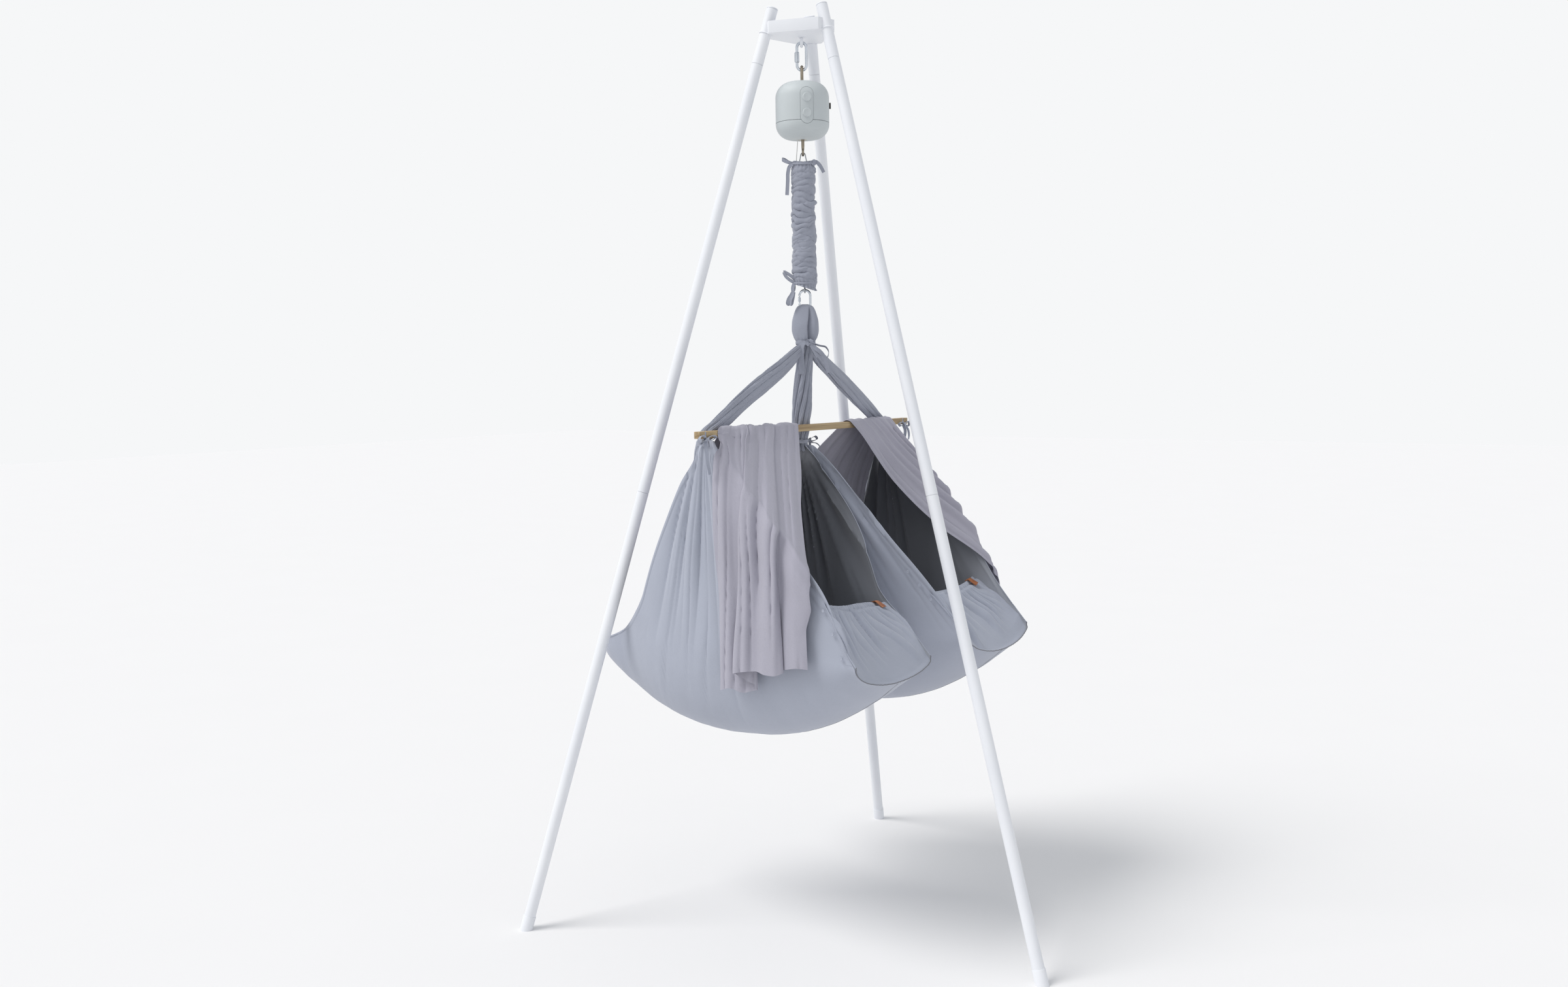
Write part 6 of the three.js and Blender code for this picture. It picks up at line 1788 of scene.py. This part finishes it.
# %% The bar and the ties
NOTCH_IN, NOTCH_WIDTH, NOTCH_DEPTH, BAR_ROUND = 20 * MM, 6 * MM, 2.5 * MM, 0.9 * MM
BAR_TIE_WIDTH, NECK_TIE_WIDTH, CENTRE_TIE_WIDTH, CENTRE_TIE_RISE = 4.6 * MM, 8 * MM, 8 * MM, 9 * MM
ALONG_BAR = Vector((0, 1, 0))
BAR_TAPES = [
    ("bow_a", [(7, 1, -8), (10, 9, -3), (11, 18, -1), (10, 24, -7), (9, 20, -14), (8, 9, -11),
               (7, 0, -9)], 7, Vector((1, 0, 0.3)), 0),
    ("bow_b", [(7, 0, -8), (11, -9, -3), (13, -19, -2), (12, -26, -6), (10, -18, -11), (7, 0, -10)],
     7, Vector((1, 0, 0.3)), 0),
    ("tail_a", [(7, 0, -9), (9, 12, -14), (9, 22, -26), (8, 25, -40), (8, 23, -46)], 7,
     Vector((1, 0.3, 0)), 50),
    ("tail_b", [(7, 0, -9), (10, 4, -22), (10, 1, -40), (9, -2, -58), (9, -6, -74), (9, -7, -80)],
     7, Vector((1, 0.2, 0)), -70),
    ("knot", [(5, -3, -8), (10, -2, -6), (12, 2, -8), (9, 3, -12), (5, 0, -11)], 7,
     Vector((0, 1, 0.2)), 0),
]
NECK_TAPES = [
    ("left_tail", [(-5, 0, 21), (-9, -8, 23), (-10, -24, 25), (-9, -46, 24), (-9, -70, 22)], 12,
     IN_LINK, 14),
    ("bow", [(9, 0, 21), (20, -4, 24), (32, -8, 26), (44, -11, 24), (51, -24, 20), (46, -36, 18),
             (34, -30, 20), (22, -18, 22), (12, -6, 22)], 9, ACROSS_LINK + UP * 0.4, 0),
    ("tail", [(12, -2, 23), (22, -14, 26), (32, -22, 27), (41, -34, 26), (45, -50, 24),
              (50, -68, 23)], 9, IN_LINK, 40),
    ("short_tail", [(8, -2, 22), (15, -12, 25), (21, -24, 26), (26, -34, 26)], 8, IN_LINK, -30),
    ("knot", [(3, -4, 20), (7, 4, 23), (13, 2, 24), (12, -5, 24), (6, -6, 23), (4, 0, 22)], 7,
     IN_LINK, 0),
]
CENTRE_TAPES = [
    ("bow_a", [(6, 19, 0), (10, 28, 6), (15, 36, 9), (18, 38, 4), (13, 30, -1), (7, 20, -1)], 6,
     Vector((1, 0, 0.5)), 0),
    ("bow_b", [(6, 19, -1), (12, 27, -4), (19, 34, -6), (24, 38, -12), (25, 39, -17)], 6,
     Vector((1, 0, 0.4)), 50),
    ("bow_c", [(5, 19, 1), (4, 27, 5), (1, 34, 3), (-2, 38, -5), (-3, 39, -12)], 6,
     Vector((1, 0, 0.4)), -40),
]


def spreader_bar():
    clear_selection()
    bpy.ops.mesh.primitive_cube_add(size=1, location=hung(BAR_X, 0, BAR_HEIGHT),
                                    scale=(BAR_SIDE, BAR_HALF * 2, BAR_SIDE))
    piece = settle(fresh("spreader_bar_oak"))
    share = 1 - NOTCH_DEPTH * 2 / BAR_SIDE
    with editing(piece):
        for side in (-1, 1):
            middle = PLUMB.y + side * (BAR_HALF - NOTCH_IN)
            for step in (-0.5, -0.36, 0.36, 0.5):
                select_whole()
                cut = (0, middle + step * NOTCH_WIDTH, 0)
                bpy.ops.mesh.bisect(plane_co=cut, plane_no=ALONG_BAR)
            choose(piece, "verts", lambda v: abs(v.co.y - middle) < 0.4 * NOTCH_WIDTH)
            bpy.ops.transform.resize(value=(share, 1, share), orient_type="GLOBAL",
                                     center_override=(PLUMB.x + BAR_X, middle, BAR_HEIGHT))
    return shade(bevel(piece, BAR_ROUND, 3, 60), 30)


def bar_tie(which):
    """The same tie at both ends of the bar, mirrored in its points' second number."""
    side = SIDES[which]
    place = hung(BAR_X, side * (BAR_HALF - NOTCH_IN), BAR_HEIGHT)
    half = BAR_SIDE / MM / 2 - 1.2
    corners = ((1, 1), (-1, 1), (-1, -1), (1, -1), (1, 1))
    wrap = [Vector((x * half, 0, z * half)) for x, z in corners]
    fine = [a.lerp(b, t) for a, b in zip(wrap, wrap[1:]) for t in (0.0, 0.25, 0.5, 0.75)]
    route = [place + p * MM for p in fine + wrap[:1]]
    wound = ribbon(f"{which}_bar_tie_tape", route, BAR_TIE_WIDTH, ALONG_BAR, count=60)
    return joined(wound, *tapes(lambda at: place + Vector((at.x, side * at.y, at.z)), BAR_TAPES))


def neck_tie():
    height = KNOT + TIE / 2
    return joined(
        band("neck_tie_tape", KNOT_HALF + 1.6 * MM, height, NECK_TIE_WIDTH, turns=1.2),
        band("second_turn", KNOT_HALF + 2.6 * MM, height - 2 * MM, 6 * MM, wave=1.4 * MM),
        *link_tapes(height, NECK_TAPES))


def centre_tie():
    centre = hung(BUNDLE_BEHIND, 0, INNER_GATHER + CENTRE_TIE_RISE)
    turns = [math.tau * k / 24 for k in range(27)]
    route = [centre + Vector((16.2 * math.cos(a), 18.4 * math.sin(a), 0.8 * math.sin(3 * a))) * MM
             for a in turns]
    wound = ribbon("centre_tie_tape", route, CENTRE_TIE_WIDTH, UP, count=90)
    return joined(wound, *tapes(lambda at: centre + at, CENTRE_TAPES))


dress(spreader_bar(), OAK, "cradles", "bar_wood", "spreader_bar")
for which in SIDES:
    dress(bar_tie(which), HULL, "cradles", "sling_cotton", f"{which}_bar_tie")
dress(neck_tie(), SLING, "cradles", "sling_cotton", "neck_tie")
dress(centre_tie(), SLING, "cradles", "sling_cotton", "centre_tie")
print("bar and ties made")

# %% [markdown]
# The mattresses. Each starts as a thinner copy of its solid, remeshed into even squares. Air
# pressure swells it as cloth, and rows of points that stay still become sewn channels across it.

# %% The mattresses
PAD_VOXEL, PAD_SHRINK, PAD_SWELL, PAD_FILL = 6 * MM, 4.5 * MM, 4.3 * MM, 0.55
CHANNEL, CHANNEL_HALF, PRESSURE, PRESSURE_FRAMES = 90 * MM, 3.2 * MM, 4, 20


def swollen(piece):
    """Blows a piece up with the cloth simulation, and caps how far each point may move."""
    start = [vertex.co.copy() for vertex in piece.data.vertices]
    in_channel = [k for k, at in enumerate(start)
                  if abs((at.x - PLUMB.x) % CHANNEL - CHANNEL / 2) < CHANNEL_HALF]
    piece.vertex_groups.new(name="sewn").add(in_channel, 1.0, "REPLACE")
    modifier = piece.modifiers.new("swell", "CLOTH")
    modifier.settings.use_pressure = True
    modifier.settings.uniform_pressure_force = PRESSURE
    modifier.settings.effector_weights.gravity = 0
    modifier.settings.vertex_group_mass = "sewn"
    for at in range(1, PRESSURE_FRAMES + 1):
        bpy.context.scene.frame_set(at)
    bpy.context.view_layer.update()
    held = piece.evaluated_get(bpy.context.evaluated_depsgraph_get())
    moved = [vertex.co.copy() for vertex in held.data.vertices]
    piece.modifiers.remove(modifier)
    bpy.context.scene.frame_set(1)
    for vertex, before, after in zip(piece.data.vertices, start, moved):
        step = after - before
        vertex.co = before + step * min(1, PAD_SWELL / max(step.length, 1e-9))


def mattress(which):
    piece = copy_of(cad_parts[f"{which}_mattress"], f"{which}_mattress_pad")
    with editing(piece):
        bpy.ops.mesh.remove_doubles(threshold=1e-5)
        bpy.ops.transform.shrink_fatten(value=-PAD_SHRINK)
    apply_modifier(piece, "REMESH", mode="VOXEL", voxel_size=PAD_VOXEL)
    swollen(piece)
    apply_modifier(piece, "SUBSURF", levels=1, render_levels=1)
    piece.data.materials.clear()
    return shade(piece, 70)


for which in SIDES:
    pad = dress(mattress(which), PAD, "cradles", "mattress_cotton", f"{which}_mattress")
    print(which, "mattress:", len(pad.data.vertices), "vertices")

# %% [markdown]
# The studio: a wide pale floor and a pale world behind it. The world is brighter to the camera than
# to the object, so the background is near white while the light on the object stays plain. One sun
# with a wide disc lights the whole floor evenly, and its shadows are soft.

# %% Floor, lights and world
FLOOR_SIZE, PALE, SPECK = 40, (0.884, 0.876, 0.874), (0.877, 0.869, 0.867)
WORLD_LIGHT, WORLD_STRENGTH, WORLD_SEEN = (0.93, 0.96, 1.0, 1), 0.64, (0.922, 0.93, 0.939, 1)
SUN_PLACE, SUN_STRENGTH, SUN_SPREAD, SUN_COLOR = (-2.0, -2.9, 4.6), 1.78, 30, (1.0, 0.985, 0.965)


def studio_floor():
    clear_selection()
    bpy.ops.mesh.primitive_plane_add(size=FLOOR_SIZE)
    floor = fresh("studio_floor")
    paper = Finish("floor_paper", PALE, 0.9)
    paper.vary("Base Color", paper.noise(3, 2), SPECK, PALE, 0.2, 0.8)
    floor.data.materials.append(paper.material)


def studio_world():
    world = bpy.data.worlds.new("studio")
    bpy.context.scene.world = world
    world.use_nodes = True
    nodes, link = world.node_tree.nodes, world.node_tree.links.new
    light = nodes["Background"]
    light.inputs["Color"].default_value = WORLD_LIGHT
    light.inputs["Strength"].default_value = WORLD_STRENGTH
    seen = nodes.new("ShaderNodeBackground")
    seen.inputs["Color"].default_value = WORLD_SEEN
    path = nodes.new("ShaderNodeLightPath")
    either = nodes.new("ShaderNodeMath")
    either.operation = "MAXIMUM"
    both = nodes.new("ShaderNodeMixShader")
    link(path.outputs["Is Camera Ray"], either.inputs[0])
    link(path.outputs["Is Glossy Ray"], either.inputs[1])
    link(either.outputs["Value"], both.inputs["Fac"])
    link(light.outputs["Background"], both.inputs[1])
    link(seen.outputs["Background"], both.inputs[2])
    link(both.outputs["Shader"], nodes["World Output"].inputs["Surface"])


def soft_sun():
    data = bpy.data.lights.new("key_sun", "SUN")
    data.energy = SUN_STRENGTH
    data.angle = math.radians(SUN_SPREAD)
    data.color = SUN_COLOR
    lamp = bpy.data.objects.new("key_sun", data)
    bpy.context.collection.objects.link(lamp)
    lamp.location = SUN_PLACE
    lamp.rotation_euler = (-lamp.location).to_track_quat("-Z", "Y").to_euler()


studio_floor()
studio_world()
soft_sun()
bpy.context.scene.view_settings.view_transform = "Standard"

# %% [markdown]
# Last, a word that the pieces are ready.

# %% The end
print("pieces are ready")
